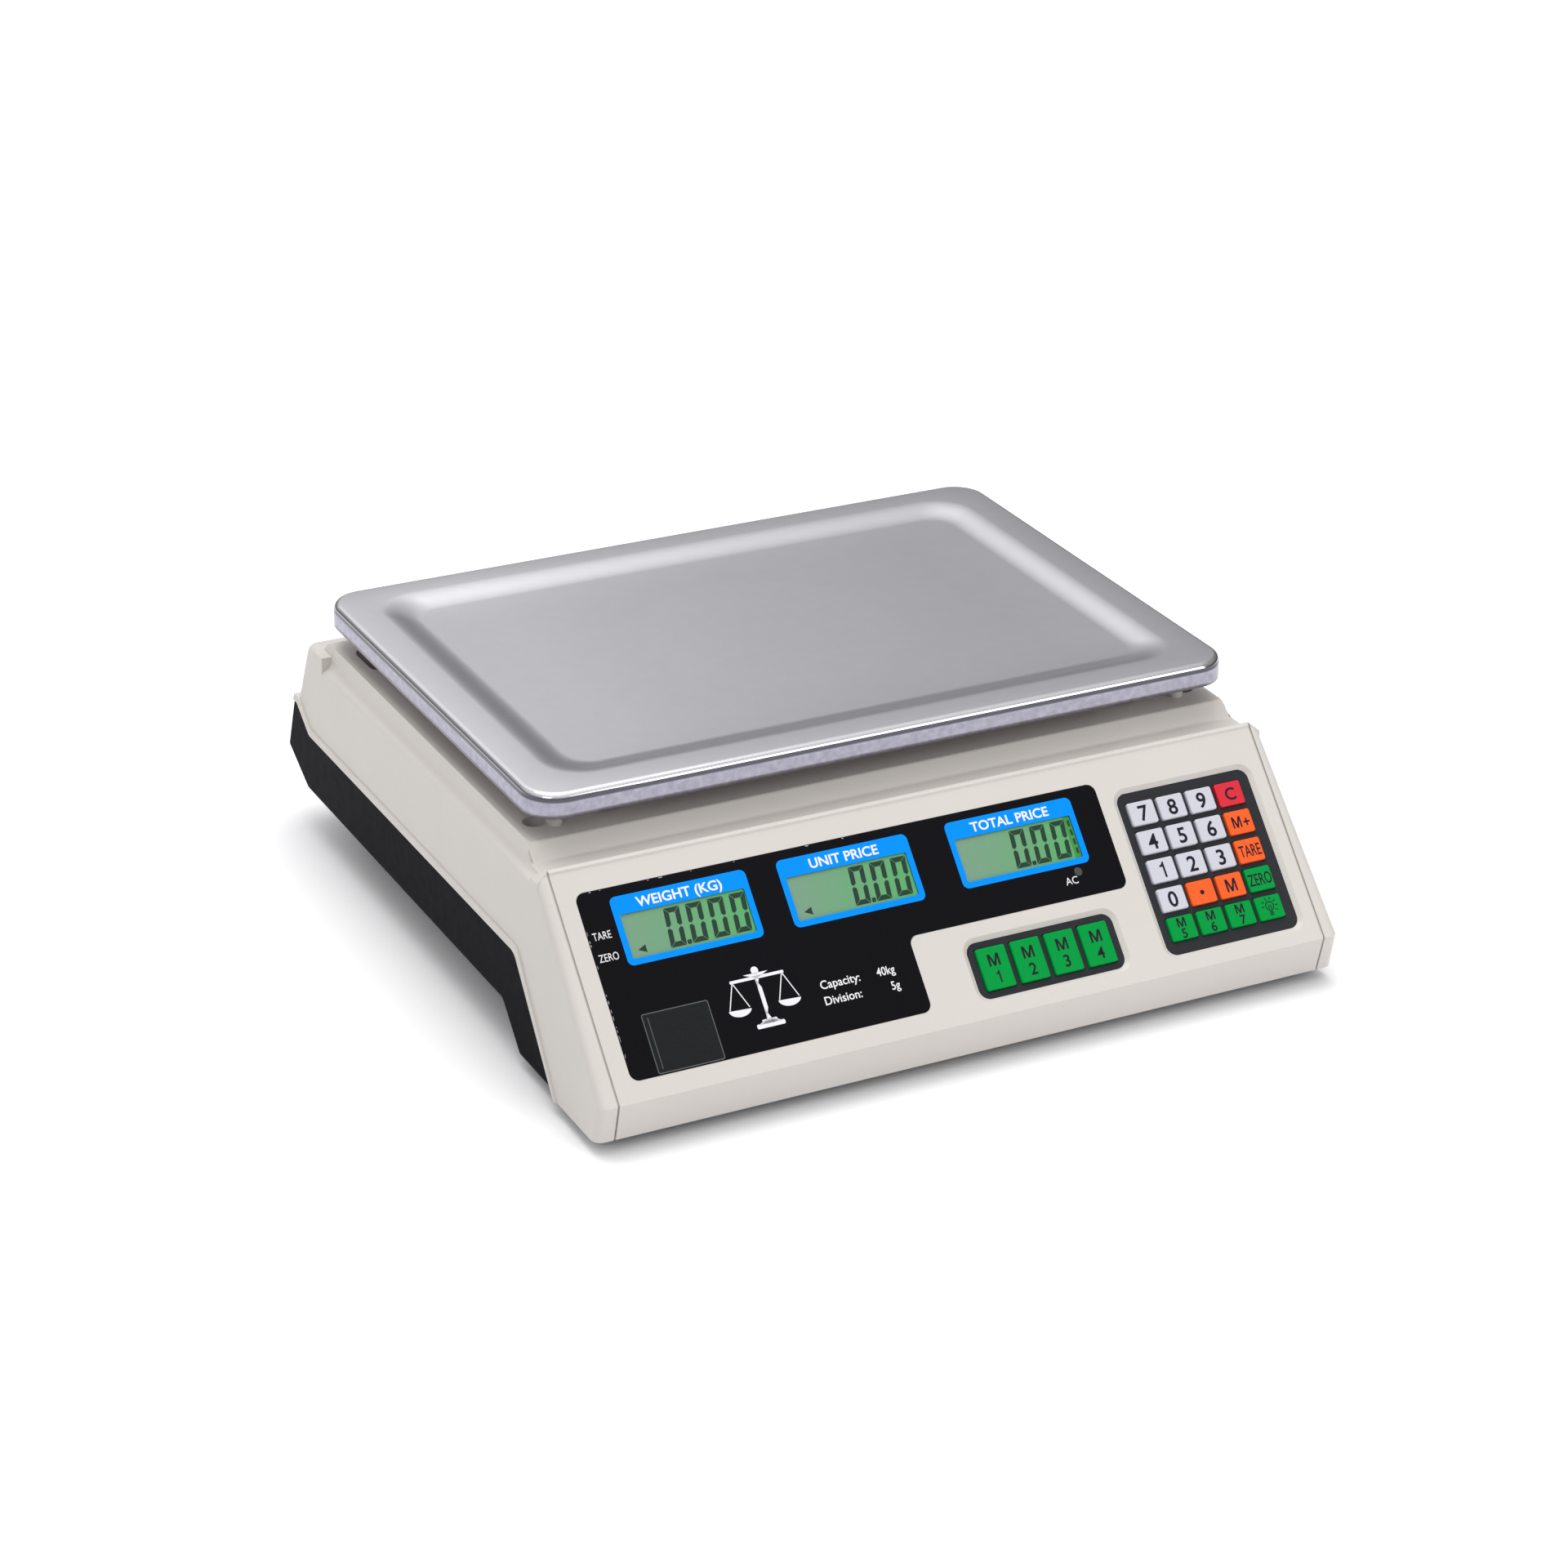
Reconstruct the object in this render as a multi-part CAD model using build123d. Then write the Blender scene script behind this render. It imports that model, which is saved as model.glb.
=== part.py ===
from build123d import *
import os
from math import atan2, cos, degrees, hypot, sin

# Price-computing counter scale: a moulded housing on a tub-shaped base, a stainless steel
# weighing pan on a single-point load cell, three front and three rear displays, 24 keys.
# X to the right, Y to the back, Z up, millimetres. The origin is the middle of the footprint,
# on the surface that the four feet stand on.

# Driving dimensions.
WALL = 2.8
BASE_WALL = 2.5
HALF_WIDTH_LOW = 180.0
HALF_WIDTH_TOP = 176.0
BASE_HALF_WIDTH = 178.0
DECK_Z = 103.3
DECK_FRONT_Y = -89.1
DECK_BACK_Y = 141.5
DECK_HALF_WIDTH = 169.7
SHOULDER_Z = 99.6
SEAM_Z = 55.2
REAR_SEAM_Z = 65.4
SKIRT_Z = 6.4
BASE_BOTTOM_Z = 24.0
BASE_NOSE_Z = 5.6
SEAT_Z = 12.0

PANEL_TOP = (-110.2, 99.05)
PANEL_CREASE = (-180.0, 24.3)
LIP_BOTTOM = (-175.5, SKIRT_Z)
REAR_TOP = (154.6, SHOULDER_Z)
REAR_LOW = (167.6, REAR_SEAM_Z)

PAN_CENTRE_Y = 24.5
PAN_SIZE = (340.0, 242.0)
PAN_TOP_Z = 126.0
PAN_RIM_Z = 115.0
PAN_SHEET = 1.0
PAN_CORNER = 16.0
DISH_DEPTH = 3.0
DISH_FLOOR = (280.0, 184.0)
DISH_MOUTH = (304.0, 210.0)

CELL_SIZE = (130.0, 30.0, 22.0)
CELL_BOTTOM_Z = 60.0
CELL_BOLT_X = (47.0, 59.0)
ARM_END = (127.0, 86.0)
ARM_Z = (105.2, 112.0)
PAD_Z = (117.6, PAN_TOP_Z - DISH_DEPTH - PAN_SHEET)

KEY_GAP = 0.35
KEY_PLATE_W = (-4.8, -1.4)
KEY_TOP_W = 0.1
KEY_FOOT_W = -6.8

GROOVE_DEPTH = 1.0
GROOVE_X = (170.6, 171.6)

WELL_FRONT = (160.0, -71.5)
WELL_REAR = (156.5, 115.5)
WELL_FLOOR_Z = 83.0
FRONT_WELL_DIAMETER = 10.0
PAN_STOP = (153.0, -76.5)
PAN_STOP_DIAMETER = 7.0
REAR_WELL_SLOT = (28.0, 13.0)
FOOT_X = 145.0
FOOT_Y = (-112.0, 128.0)
SIDE_FITTING_Z = 40.0
INLET_Y = 60.0
SWITCH_Y = 20.0
SWITCH_PIVOT_X = 172.6
ROCKER_TILT = 9.0
PIN_SPACING = 8.6

# Parts inside: (x0, x1, y0, y1) of each rectangle.
MAIN_BOARD = (-160.0, -82.0, -62.0, 30.0)
MAIN_BOARD_Z = 33.0
BOARD_POSTS = ((-155.0, -87.0), (-57.0, 25.0))
LEVEL_POST = (-135.0, -155.2)
BATTERY = (75.0, 145.0, 0.0, 101.0)
BATTERY_TOP_Z = 74.0
BATTERY_HATCH = (72.5, 147.5, -2.5, 103.5)
HATCH_COVER = (66.0, 154.0, -9.0, 110.0)

# Places of the panel's fittings: u across, v down the slope.
LCD_SIZE = (57.1, 19.4)
LCD_BODY = (61.4, 23.4)
FRONT_LCDS = {
    "front_lcd_weight": (-117.25, 33.7),
    "front_lcd_unit_price": (-40.15, 33.4),
    "front_lcd_total_price": (41.05, 32.9),
}
REAR_LCD_SIZE = (57.1, 15.6)
REAR_LCD_BODY = (61.4, 19.6)
REAR_LCDS = [(-80.0, 19.6), (0.0, 19.6), (80.0, 19.6)]
OVERLAY_W = (-0.3, 0.06)
REAR_FILM = (250.0, 28.0, 3.5)
REAR_FILM_V = 18.0
LEVEL_WINDOW = (-150.3, -119.8, 67.0, 93.0)
LED_PLACE = (65.0, 48.6)
LED_DIAMETER = 4.0
LED_HOLE_RADIUS = 2.1

NUMBER_PAD = (94.8, 162.5, 18.7, 94.3)
NUMBER_MIDDLE = (127.6, 56.1)
NUMBER_KEY = (13.1, 10.8)
NUMBER_PITCH = (15.0, 13.5)
MEMORY_PAD = (1.6, 73.7, 68.7, 94.1)
MEMORY_MIDDLE = (37.5, 81.4)
MEMORY_KEY = (14.2, 18.8)
MEMORY_PITCH = 16.8
NUMBER_ROWS = [
    ["7", "8", "9", "c"],
    ["4", "5", "6", "m_plus"],
    ["1", "2", "3", "tare"],
    ["0", "point", "m", "zero"],
    ["m5", "m6", "m7", "light"],
]

os.makedirs("parts", exist_ok=True)


# Planes of the sloping front panel and of the sloping rear wall.
panel_angle = atan2(PANEL_TOP[1] - PANEL_CREASE[1], PANEL_TOP[0] - PANEL_CREASE[0])
panel_plane = Plane(
    origin=(0, *PANEL_TOP), x_dir=(1, 0, 0), z_dir=(0, -sin(panel_angle), cos(panel_angle))
)
rear_angle = atan2(REAR_TOP[1] - REAR_LOW[1], REAR_LOW[0] - REAR_TOP[0])
rear_plane = Plane(
    origin=(0, *REAR_TOP), x_dir=(-1, 0, 0), z_dir=(0, sin(rear_angle), cos(rear_angle))
)


def save(name, *solids):
    """Write one node: one STEP file with one or more separate solids."""
    pieces = []
    for item in solids:
        pieces += item.solids()
    shape = pieces[0] if len(pieces) == 1 else Compound(children=pieces)
    export_step(shape, f"parts/{name}.step")


def outline(corners):
    """A closed polygon of (a, b) corners, rounded where a corner has a radius (a, b, r)."""
    face = make_face(Polyline(*[corner[:2] for corner in corners], close=True))
    for a, b, *radius in corners:
        if radius:
            vertex = min(face.vertices(), key=lambda v: (v.X - a) ** 2 + (v.Y - b) ** 2)
            face = fillet(vertex, radius[0])
    return face


def side_prism(face, half_width):
    """A side profile in (Y, Z), extended to both sides."""
    return extrude(Plane.YZ * face, half_width, both=True)


def block(x0, x1, y0, y1, z0, z1, radius=0):
    """A box between two corners, its upright edges rounded."""
    shape = Rectangle(x1 - x0, y1 - y0)
    if radius:
        shape = RectangleRounded(x1 - x0, y1 - y0, radius)
    return Pos((x0 + x1) / 2, (y0 + y1) / 2, z0) * extrude(shape, z1 - z0)


def post(x, y, z0, z1, diameter):
    """An upright cylinder."""
    return Pos(x, y, (z0 + z1) / 2) * Cylinder(diameter / 2, z1 - z0)


def slope_block(plane, u0, u1, v0, v1, w0, w1, radius=0):
    """A box on a sloping plane: u across, v down the slope, w out of it."""
    return plane.location * block(u0, u1, -v1, -v0, w0, w1, radius)


def mirrored(solid):
    """The solid and its twin on the other side of the scale."""
    return solid + mirror(solid, Plane.YZ)


# Side profile of the moulded housing, clockwise from the front lip.
seam = [
    (REAR_LOW[0] - 3.1, REAR_SEAM_Z, 2),
    (148.5, SEAM_Z, 4),
    (-91.6, SEAM_Z, 8),
    (-135.0, SKIRT_Z),
]
crown = [
    PANEL_CREASE,
    (-111.15, 98.03),
    (-111.0, 99.2, 0.5),
    (-109.0, 99.9, 1.2),
    (-104.5, 96.1, 3),
    (-95.0, 96.3, 2),
    (DECK_FRONT_Y, DECK_Z, 1.5),
    (DECK_BACK_Y, DECK_Z, 1.5),
    (DECK_BACK_Y + 2.1, SHOULDER_Z),
    (*REAR_TOP, 3.5),
]
housing_outline = outline([LIP_BOTTOM, *crown, REAR_LOW, *seam])
open_outline = outline([(-168.9, -20.0), *crown, (200.1, -20.0)])
below_seam = outline([*seam, (-135.0, -30.0), (210.0, -30.0), (210.0, REAR_SEAM_Z)])


def make_flanks(low, top, z_low, z_top):
    """The housing between its two side walls, which lean in towards the top."""
    return extrude(
        Plane.XZ * outline([(-low, z_low), (-top, z_top), (top, z_top), (low, z_low)]),
        400,
        both=True,
    )


def make_envelope():
    """The outer form of the housing, with the cheeks and the rear corners rounded."""
    body = side_prism(open_outline, 190)
    body = body & make_flanks(HALF_WIDTH_LOW, HALF_WIDTH_TOP, SKIRT_Z, DECK_Z)
    side_edges = [edge for edge in body.edges() if abs(edge.center().X) > 170]
    cheeks = [edge for edge in side_edges if edge.center().Y < -112 and edge.center().Z > 8]
    body = fillet(cheeks, 4.5)
    side_edges = [edge for edge in body.edges() if abs(edge.center().X) > 170]
    rear = [edge for edge in side_edges if edge.center().Y > 155 and edge.length > 20]
    body = fillet(rear, 5)
    return body - side_prism(below_seam, 190)


def make_coves():
    """The soft hollow along each side of the deck, and the lower shoulder at its back end."""
    cove = outline(
        [
            (DECK_HALF_WIDTH, DECK_Z),
            (DECK_HALF_WIDTH + 1.7, 98.8, 0.5),
            (DECK_HALF_WIDTH + 2.2, 94.8, 4),
            (HALF_WIDTH_TOP + 0.38, 92.8, 3),
            (HALF_WIDTH_TOP + 0.8, 85),
            (190, 85),
            (190, 110),
            (DECK_HALF_WIDTH - 1, 110),
        ]
    )
    shoulder = outline(
        [
            (DECK_HALF_WIDTH, DECK_Z),
            (DECK_HALF_WIDTH + 1.7, SHOULDER_Z),
            (190, SHOULDER_Z),
            (190, 110),
            (DECK_HALF_WIDTH - 1, 110),
        ]
    )
    cheek_top = outline([(171.2, 99.9), (177.5, 94.6), (190, 94.6), (190, 110), (171.2, 110)])
    pieces = Part()
    for face, front, back in (
        (cove, -104.5, 134.0),
        (shoulder, 134.0, DECK_BACK_Y + 2.1),
        (cheek_top, -115.0, -104.5),
    ):
        pieces += Pos(0, back, 0) * extrude(Plane.XZ * face, back - front)
    return mirrored(pieces)


def make_groove():
    """The fine line between the front panel and each cheek."""
    inner, outer = GROOVE_X
    strip = block(inner, outer, -200, PANEL_TOP[1] - 0.6, SKIRT_Z - 1, 105)
    behind = Pos(0, GROOVE_DEPTH / sin(panel_angle), 0) * side_prism(open_outline, 190)
    return mirrored(strip - behind)


def make_bead():
    """The thin raised edge where the housing meets the base."""
    band = outline(
        [
            (-137.5, SKIRT_Z),
            (-94.0, SEAM_Z + 3.5, 8),
            (147.0, SEAM_Z + 3.5, 4),
            (163.0, REAR_SEAM_Z + 3.5, 2),
            (175.0, REAR_SEAM_Z + 3.5),
            (REAR_LOW[0] + 1.6, REAR_SEAM_Z),
            *seam,
        ]
    )
    rim = side_prism(band, 190)
    rim = rim & make_flanks(HALF_WIDTH_LOW + 0.8, HALF_WIDTH_TOP + 0.8, SKIRT_Z, DECK_Z)
    rear_face = outline(
        [
            (-200, 0),
            (-200, 110),
            (REAR_TOP[0] + 1.6, SHOULDER_Z),
            (REAR_LOW[0] + 1.6, REAR_SEAM_Z),
            (192, 0),
        ]
    )
    return rim & side_prism(rear_face, 190)


def key_places():
    """Name, middle (u, v) and size of every key."""
    places = []
    for row, names in enumerate(NUMBER_ROWS):
        for column, name in enumerate(names):
            u = NUMBER_MIDDLE[0] + (column - 1.5) * NUMBER_PITCH[0]
            v = NUMBER_MIDDLE[1] + (row - 2) * NUMBER_PITCH[1]
            places.append((f"key_{name}", u, v, *NUMBER_KEY))
    for column in range(4):
        u = MEMORY_MIDDLE[0] + (column - 1.5) * MEMORY_PITCH
        places.append((f"key_m{column + 1}", u, MEMORY_MIDDLE[1], *MEMORY_KEY))
    return places


def overlay_face(grow=0.0):
    """The black L-shaped film of the front panel, drawn flat."""
    left, right, middle = -162.5 - grow, 85.9 + grow, -22.8 + grow
    top, step, bottom = -11.5 + grow, -60.0 - grow, -93.5 - grow
    corner = 4.0 + grow
    return outline(
        [
            (left, top, corner),
            (right, top, corner),
            (right, step, corner),
            (middle, step, corner),
            (middle, bottom, corner),
            (left, bottom, corner),
        ]
    )


def centred_block(plane, place, size, w0, w1, radius=0):
    """A box on a sloping plane about a middle (u, v)."""
    u, v = place
    a, b = size
    return slope_block(plane, u - a / 2, u + a / 2, v - b / 2, v + b / 2, w0, w1, radius)


def pad_opening(pad):
    """A keypad opening through the front wall, with a bevelled mouth."""
    u0, u1, v0, v1 = pad
    size = (u1 - u0, v1 - v0)
    middle = panel_plane.location * Pos((u0 + u1) / 2, -(v0 + v1) / 2, 0)
    mouth = loft(
        [
            Pos(0, 0, KEY_PLATE_W[1] - 0.05) * RectangleRounded(size[0] + 0.3, size[1] + 0.3, 5),
            Pos(0, 0, 0.5) * RectangleRounded(size[0] + 5.6, size[1] + 5.6, 7.6),
        ]
    )
    through = slope_block(panel_plane, u0, u1, v0, v1, -20, KEY_PLATE_W[1], 5)
    return middle * mouth + through


def make_upper_housing():
    """The off-white moulded housing: deck, front panel, side walls and sloping rear wall."""
    body = make_envelope() - make_coves() - make_groove()
    body = body + make_bead()
    room = outline(
        [
            (-HALF_WIDTH_LOW + WALL, SKIRT_Z - 10),
            (-HALF_WIDTH_TOP + WALL - 0.7, 86),
            (-DECK_HALF_WIDTH + WALL, 93),
            (-DECK_HALF_WIDTH + WALL, DECK_Z),
            (DECK_HALF_WIDTH - WALL, DECK_Z),
            (DECK_HALF_WIDTH - WALL, 93),
            (HALF_WIDTH_TOP - WALL + 0.7, 86),
            (HALF_WIDTH_LOW - WALL, SKIRT_Z - 10),
        ]
    )
    cavity = side_prism(offset(open_outline, -WALL, kind=Kind.INTERSECTION), 185)
    body = body - (cavity & extrude(Plane.XZ * room, 400, both=True))
    length, width = REAR_WELL_SLOT
    for place, ring, bore in (
        (WELL_FRONT, Circle(FRONT_WELL_DIAMETER / 2 + 2), Circle(FRONT_WELL_DIAMETER / 2)),
        (WELL_REAR, SlotOverall(length + 5, width + 5, rotation=90),
         SlotOverall(length, width, rotation=90)),
    ):
        body += mirrored(Pos(*place, WELL_FLOOR_Z - 3) * extrude(ring, DECK_Z - WELL_FLOOR_Z + 1.5))
        body -= mirrored(Pos(*place, WELL_FLOOR_Z) * extrude(bore, 30))
        body -= mirrored(post(*place, WELL_FLOOR_Z - 5, WELL_FLOOR_Z + 5, 4.6))
    stop = fillet(Cylinder(PAN_STOP_DIAMETER / 2, 6).edges().sort_by(Axis.Z)[-1], 1.5)
    body += mirrored(Pos(*PAN_STOP, DECK_Z) * stop)
    body -= block(38.0, 68.0, PAN_CENTRE_Y - 17, PAN_CENTRE_Y + 17, 90, 110, 4)
    body -= panel_plane.location * (Pos(0, 0, OVERLAY_W[0]) * extrude(overlay_face(0.15), 3))
    for place in FRONT_LCDS.values():
        body -= centred_block(panel_plane, place, (LCD_BODY[0] + 0.5, LCD_BODY[1] + 0.5), -10, 2)
    u0, u1, v0, v1 = LEVEL_WINDOW
    body -= slope_block(panel_plane, u0 - 0.1, u1 + 0.1, v0 - 0.1, v1 + 0.1, -10, 2, 1.1)
    body -= panel_plane.location * (Pos(LED_PLACE[0], -LED_PLACE[1], 0) * Cylinder(LED_HOLE_RADIUS, 20))
    body -= pad_opening(NUMBER_PAD)
    body -= pad_opening(MEMORY_PAD)
    width, depth, corner = REAR_FILM
    recess = RectangleRounded(width + 0.3, depth + 0.3, corner + 0.1)
    body -= rear_plane.location * (Pos(0, -REAR_FILM_V, OVERLAY_W[0]) * extrude(recess, 3))
    for place in REAR_LCDS:
        size = (REAR_LCD_BODY[0] + 0.5, REAR_LCD_BODY[1] + 0.5)
        body -= centred_block(rear_plane, place, size, -10, 2)
    return body


# Lower base.
base_floor = [
    (-300.0, BASE_NOSE_Z + BASE_WALL),
    (-93.9, BASE_NOSE_Z + BASE_WALL),
    (-76.3, BASE_BOTTOM_Z + BASE_WALL),
    (154.9, BASE_BOTTOM_Z + BASE_WALL),
    (177.0, 39.6),
    (168.1, REAR_SEAM_Z),
    (160.0, 90.0),
    (-300.0, 90.0),
]


def make_lower_base():
    """The dark tub: floor, walls, raised nose, posts and seats for everything inside."""
    profile = outline(
        [
            (-135.0, SKIRT_Z),
            (-133.5, BASE_NOSE_Z),
            (-92.8, BASE_NOSE_Z, 3),
            (-75.2, BASE_BOTTOM_Z, 3),
            (155.7, BASE_BOTTOM_Z, 3),
            (180.58, 38.0, 2.5),
            (170.6, REAR_SEAM_Z),
            *seam,
        ]
    )
    tub = side_prism(profile, BASE_HALF_WIDTH)
    sills = [
        edge
        for edge in tub.edges()
        if abs(edge.center().X) > BASE_HALF_WIDTH - 1
        and -134 < edge.center().Y
        and edge.center().Z < 53
        and abs(edge.center().Z - 29.5) > 1
    ]
    tub = fillet(sills, 3)
    room = side_prism(outline(base_floor), BASE_HALF_WIDTH - BASE_WALL)
    tub = tub - room
    tray = block(-176.0, 176.0, -171.5, -125.0, BASE_NOSE_Z + 1.4, BASE_NOSE_Z + 3.9, 3)
    tub += tray

    def standing(x, y, top, diameter):
        return post(x, y, 0, top, diameter) & room

    for x, y in (WELL_FRONT, WELL_REAR):
        tub += mirrored(standing(x, y, WELL_FLOOR_Z - 3.2, 9))
        tub -= mirrored(post(x, y, 50, 90, 4.2))
    for y in FOOT_Y:
        tub += mirrored(standing(FOOT_X, y, 36, 16))
        if y > 0:
            tub += mirrored(post(FOOT_X, y, SEAT_Z, BASE_BOTTOM_Z + 1, 30))
        else:
            tub += mirrored(post(FOOT_X, y, BASE_NOSE_Z, SEAT_Z + 2.5, 33))
            tub -= mirrored(post(FOOT_X, y, 0, SEAT_Z, 28))
        tub -= mirrored(post(FOOT_X, y, 0, 33, 8.2))
    fixed = -(CELL_BOLT_X[0] + CELL_BOLT_X[1]) / 2
    low, high = PAN_CENTRE_Y - 16, PAN_CENTRE_Y + 16
    tub += block(fixed - 14, fixed + 12, low, high, BASE_BOTTOM_Z + 1, CELL_BOTTOM_Z, 2)
    for x in CELL_BOLT_X:
        tub -= post(-x, PAN_CENTRE_Y, 0, 80, 6.4)
        tub -= post(-x, PAN_CENTRE_Y, 0, 33, 11)
    for x in BOARD_POSTS[0]:
        for y in BOARD_POSTS[1]:
            tub += standing(x, y, MAIN_BOARD_Z, 7)
            tub -= post(x, y, 28, 40, 2.6)
    tub += standing(*LEVEL_POST, 24.4, 14)
    tub -= block(*BATTERY_HATCH, 0, 30, 3)
    for x, y in hatch_screws():
        tub += standing(x, y, 33, 7)
        tub -= post(x, y, 0, 31, 2.6)
    side = BASE_HALF_WIDTH
    tub -= block(side - 6, side + 6, INLET_Y - 12.2, INLET_Y + 12.2, SIDE_FITTING_Z - 7.2,
                 SIDE_FITTING_Z + 7.2)
    tub -= block(side - 6, side + 6, SWITCH_Y - 11.2, SWITCH_Y + 11.2, SIDE_FITTING_Z - 6.7,
                 SIDE_FITTING_Z + 6.7)
    return tub


def hatch_screws():
    """Middles of the four screws of the battery cover."""
    return [(x, y) for x in (69.3, 150.7) for y in (-5.7, 106.7)]


def make_foot(x, y):
    """A levelling foot: a grooved pad and a threaded stud in one moulding."""
    pad = post(x, y, 0, SEAT_Z - 3, 24)
    pad = fillet(pad.edges().group_by(Axis.Z)[0], 1.5)
    collar = post(x, y, SEAT_Z - 3, SEAT_Z, 17)
    stud = post(x, y, SEAT_Z, 31.5, 8)
    foot = pad + collar + stud
    for turn in range(12):
        spot = Pos(x, y, 0) * Rot(0, 0, 30 * turn) * Pos(12.6, 0, SEAT_Z - 5)
        foot -= spot * Cylinder(1.2, 6)
    return foot


def make_platter():
    """The weighing pan: a pressed steel sheet, dished, with a rolled edge."""
    width, depth = PAN_SIZE
    outer = Pos(0, 0, PAN_RIM_Z) * extrude(
        RectangleRounded(width, depth, PAN_CORNER), PAN_TOP_Z - PAN_RIM_Z
    )
    outer = fillet(outer.edges().group_by(Axis.Z)[-1], 3.0)
    inner = Pos(0, 0, PAN_RIM_Z) * extrude(
        RectangleRounded(width - 2 * PAN_SHEET, depth - 2 * PAN_SHEET, PAN_CORNER - PAN_SHEET),
        PAN_TOP_Z - PAN_RIM_Z - PAN_SHEET,
    )
    inner = fillet(inner.edges().group_by(Axis.Z)[-1], 2.0)

    def dish(drop):
        top = Pos(0, 0, PAN_TOP_Z - drop) * RectangleRounded(*DISH_MOUTH, 16)
        floor = Pos(0, 0, PAN_TOP_Z - drop - DISH_DEPTH) * RectangleRounded(*DISH_FLOOR, 9)
        return loft([floor, top])

    pan = outer - (inner - dish(PAN_SHEET)) - dish(0)
    return Pos(0, PAN_CENTRE_Y, 0) * pan


def arm_ends():
    """Middles of the four arm ends of the pan support."""
    x, y = ARM_END
    return [(side_x * x, PAN_CENTRE_Y + side_y * y) for side_x in (-1, 1) for side_y in (-1, 1)]


def make_pan_support():
    """The moulded spider: a spine over the load cell, four arms and a leg to the cell."""
    spine = block(-70, 70, PAN_CENTRE_Y - 15, PAN_CENTRE_Y + 15, *ARM_Z, 6)
    for x, y in arm_ends():
        start = (50.0 if x > 0 else -50.0, PAN_CENTRE_Y)
        reach = hypot(x - start[0], y - start[1])
        turn = degrees(atan2(y - start[1], x - start[0]))
        along = Pos(*start, ARM_Z[0]) * Rot(0, 0, turn)
        spine += along * block(0, reach, -8, 8, 0, ARM_Z[1] - ARM_Z[0])
        spine += along * block(0, reach, -1.5, 1.5, 0, 11)
        spine += post(x, y, ARM_Z[0] - 0.4, PAD_Z[0], 28)
    leg_x = sum(CELL_BOLT_X) / 2
    top = CELL_BOTTOM_Z + CELL_SIZE[2]
    spine += block(leg_x - 12, leg_x + 12, PAN_CENTRE_Y - 13, PAN_CENTRE_Y + 13, top, ARM_Z[1], 3)
    for x in CELL_BOLT_X:
        spine -= post(x, PAN_CENTRE_Y, 80, 120, 6.4)
        spine -= post(x, PAN_CENTRE_Y, 104, 120, 11)
    return spine


def bolt(x, y, head_z, down, length, diameter, head_diameter, head_height):
    """A socket-head bolt: its head on head_z, its shank going down or up."""
    sign = -1 if down else 1
    shank = post(x, y, *sorted((head_z, head_z + sign * length)), diameter)
    head = post(x, y, *sorted((head_z, head_z - sign * head_height)), head_diameter)
    socket_low = head_z - sign * head_height
    socket = Pos(x, y, socket_low) * extrude(
        RegularPolygon(diameter * 0.45, 6), head_height * 0.55, both=True
    )
    return shank + head - socket


def make_load_cell():
    """A single-point cell: an aluminium beam with a dumb-bell shaped cut."""
    top = CELL_BOTTOM_Z + CELL_SIZE[2]
    half = CELL_SIZE[0] / 2
    beam = block(
        -half, half, PAN_CENTRE_Y - CELL_SIZE[1] / 2, PAN_CENTRE_Y + CELL_SIZE[1] / 2,
        CELL_BOTTOM_Z, top,
    )
    middle = Pos(0, PAN_CENTRE_Y, (CELL_BOTTOM_Z + top) / 2)
    eyes = Pos(-14, 0) * Circle(8.5) + Pos(14, 0) * Circle(8.5) + Rectangle(28, 6)
    beam -= middle * extrude(Plane.XZ * eyes, 20, both=True)
    for x in CELL_BOLT_X:
        for side in (-1, 1):
            beam -= post(side * x, PAN_CENTRE_Y, 50, 90, 6.2)
    return beam


def make_key(u, v, width, height):
    """A hard key cap: a slightly crowned top, straight sides, a flange behind the plate."""
    at = panel_plane.location * Pos(u, -v, 0)
    cap = Pos(0, 0, KEY_PLATE_W[0] - 0.6) * extrude(
        RectangleRounded(width, height, 1.0), KEY_TOP_W - KEY_PLATE_W[0] + 0.6
    )
    cap = fillet(cap.edges().group_by(Axis.Z)[-1], 0.7)
    flange = Pos(0, 0, KEY_FOOT_W) * extrude(
        RectangleRounded(width + 1.2, height + 1.4, 1.0), KEY_PLATE_W[0] - 0.2 - KEY_FOOT_W
    )
    return at * (cap + flange)


def make_key_plate(pad, keys):
    """The dark plate that the keys stand in: a raised face and a flange behind the wall."""
    u0, u1, v0, v1 = pad
    face = slope_block(panel_plane, u0 + 0.1, u1 - 0.1, v0 + 0.1, v1 - 0.1, *KEY_PLATE_W, 4.9)
    back = slope_block(panel_plane, u0 - 4, u1 + 4, v0 - 4, v1 + 4, KEY_PLATE_W[0], -WALL - 0.1, 5)
    plate = face + back
    for name, u, v, width, height in keys:
        size = (width + 2 * KEY_GAP, height + 2 * KEY_GAP)
        plate -= centred_block(panel_plane, (u, v), size, -8, 2, 1.2)
    return plate


def make_key_board(pad, keys):
    """The keypad's circuit board, its contact mat and a connector, as separate solids."""
    u0, u1, v0, v1 = pad
    mat = slope_block(panel_plane, u0 - 3, u1 + 3, v0 - 2.5, v1 + 2.5, -9.6, -8.9, 2)
    for name, u, v, width, height in keys:
        pill = centred_block(panel_plane, (u, v), (width * 0.5, height * 0.5), -8.9, -8.4, 1.5)
        mat += pill
    board = slope_block(panel_plane, u0 - 3, u1 + 3, v0 - 3, v1 + 3, -11.2, -9.6, 1)
    middle = (u0 + u1) / 2
    connector = slope_block(panel_plane, middle - 10, middle + 10, v0 + 2, v0 + 8, -17, -11.2)
    return board, mat, connector


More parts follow.
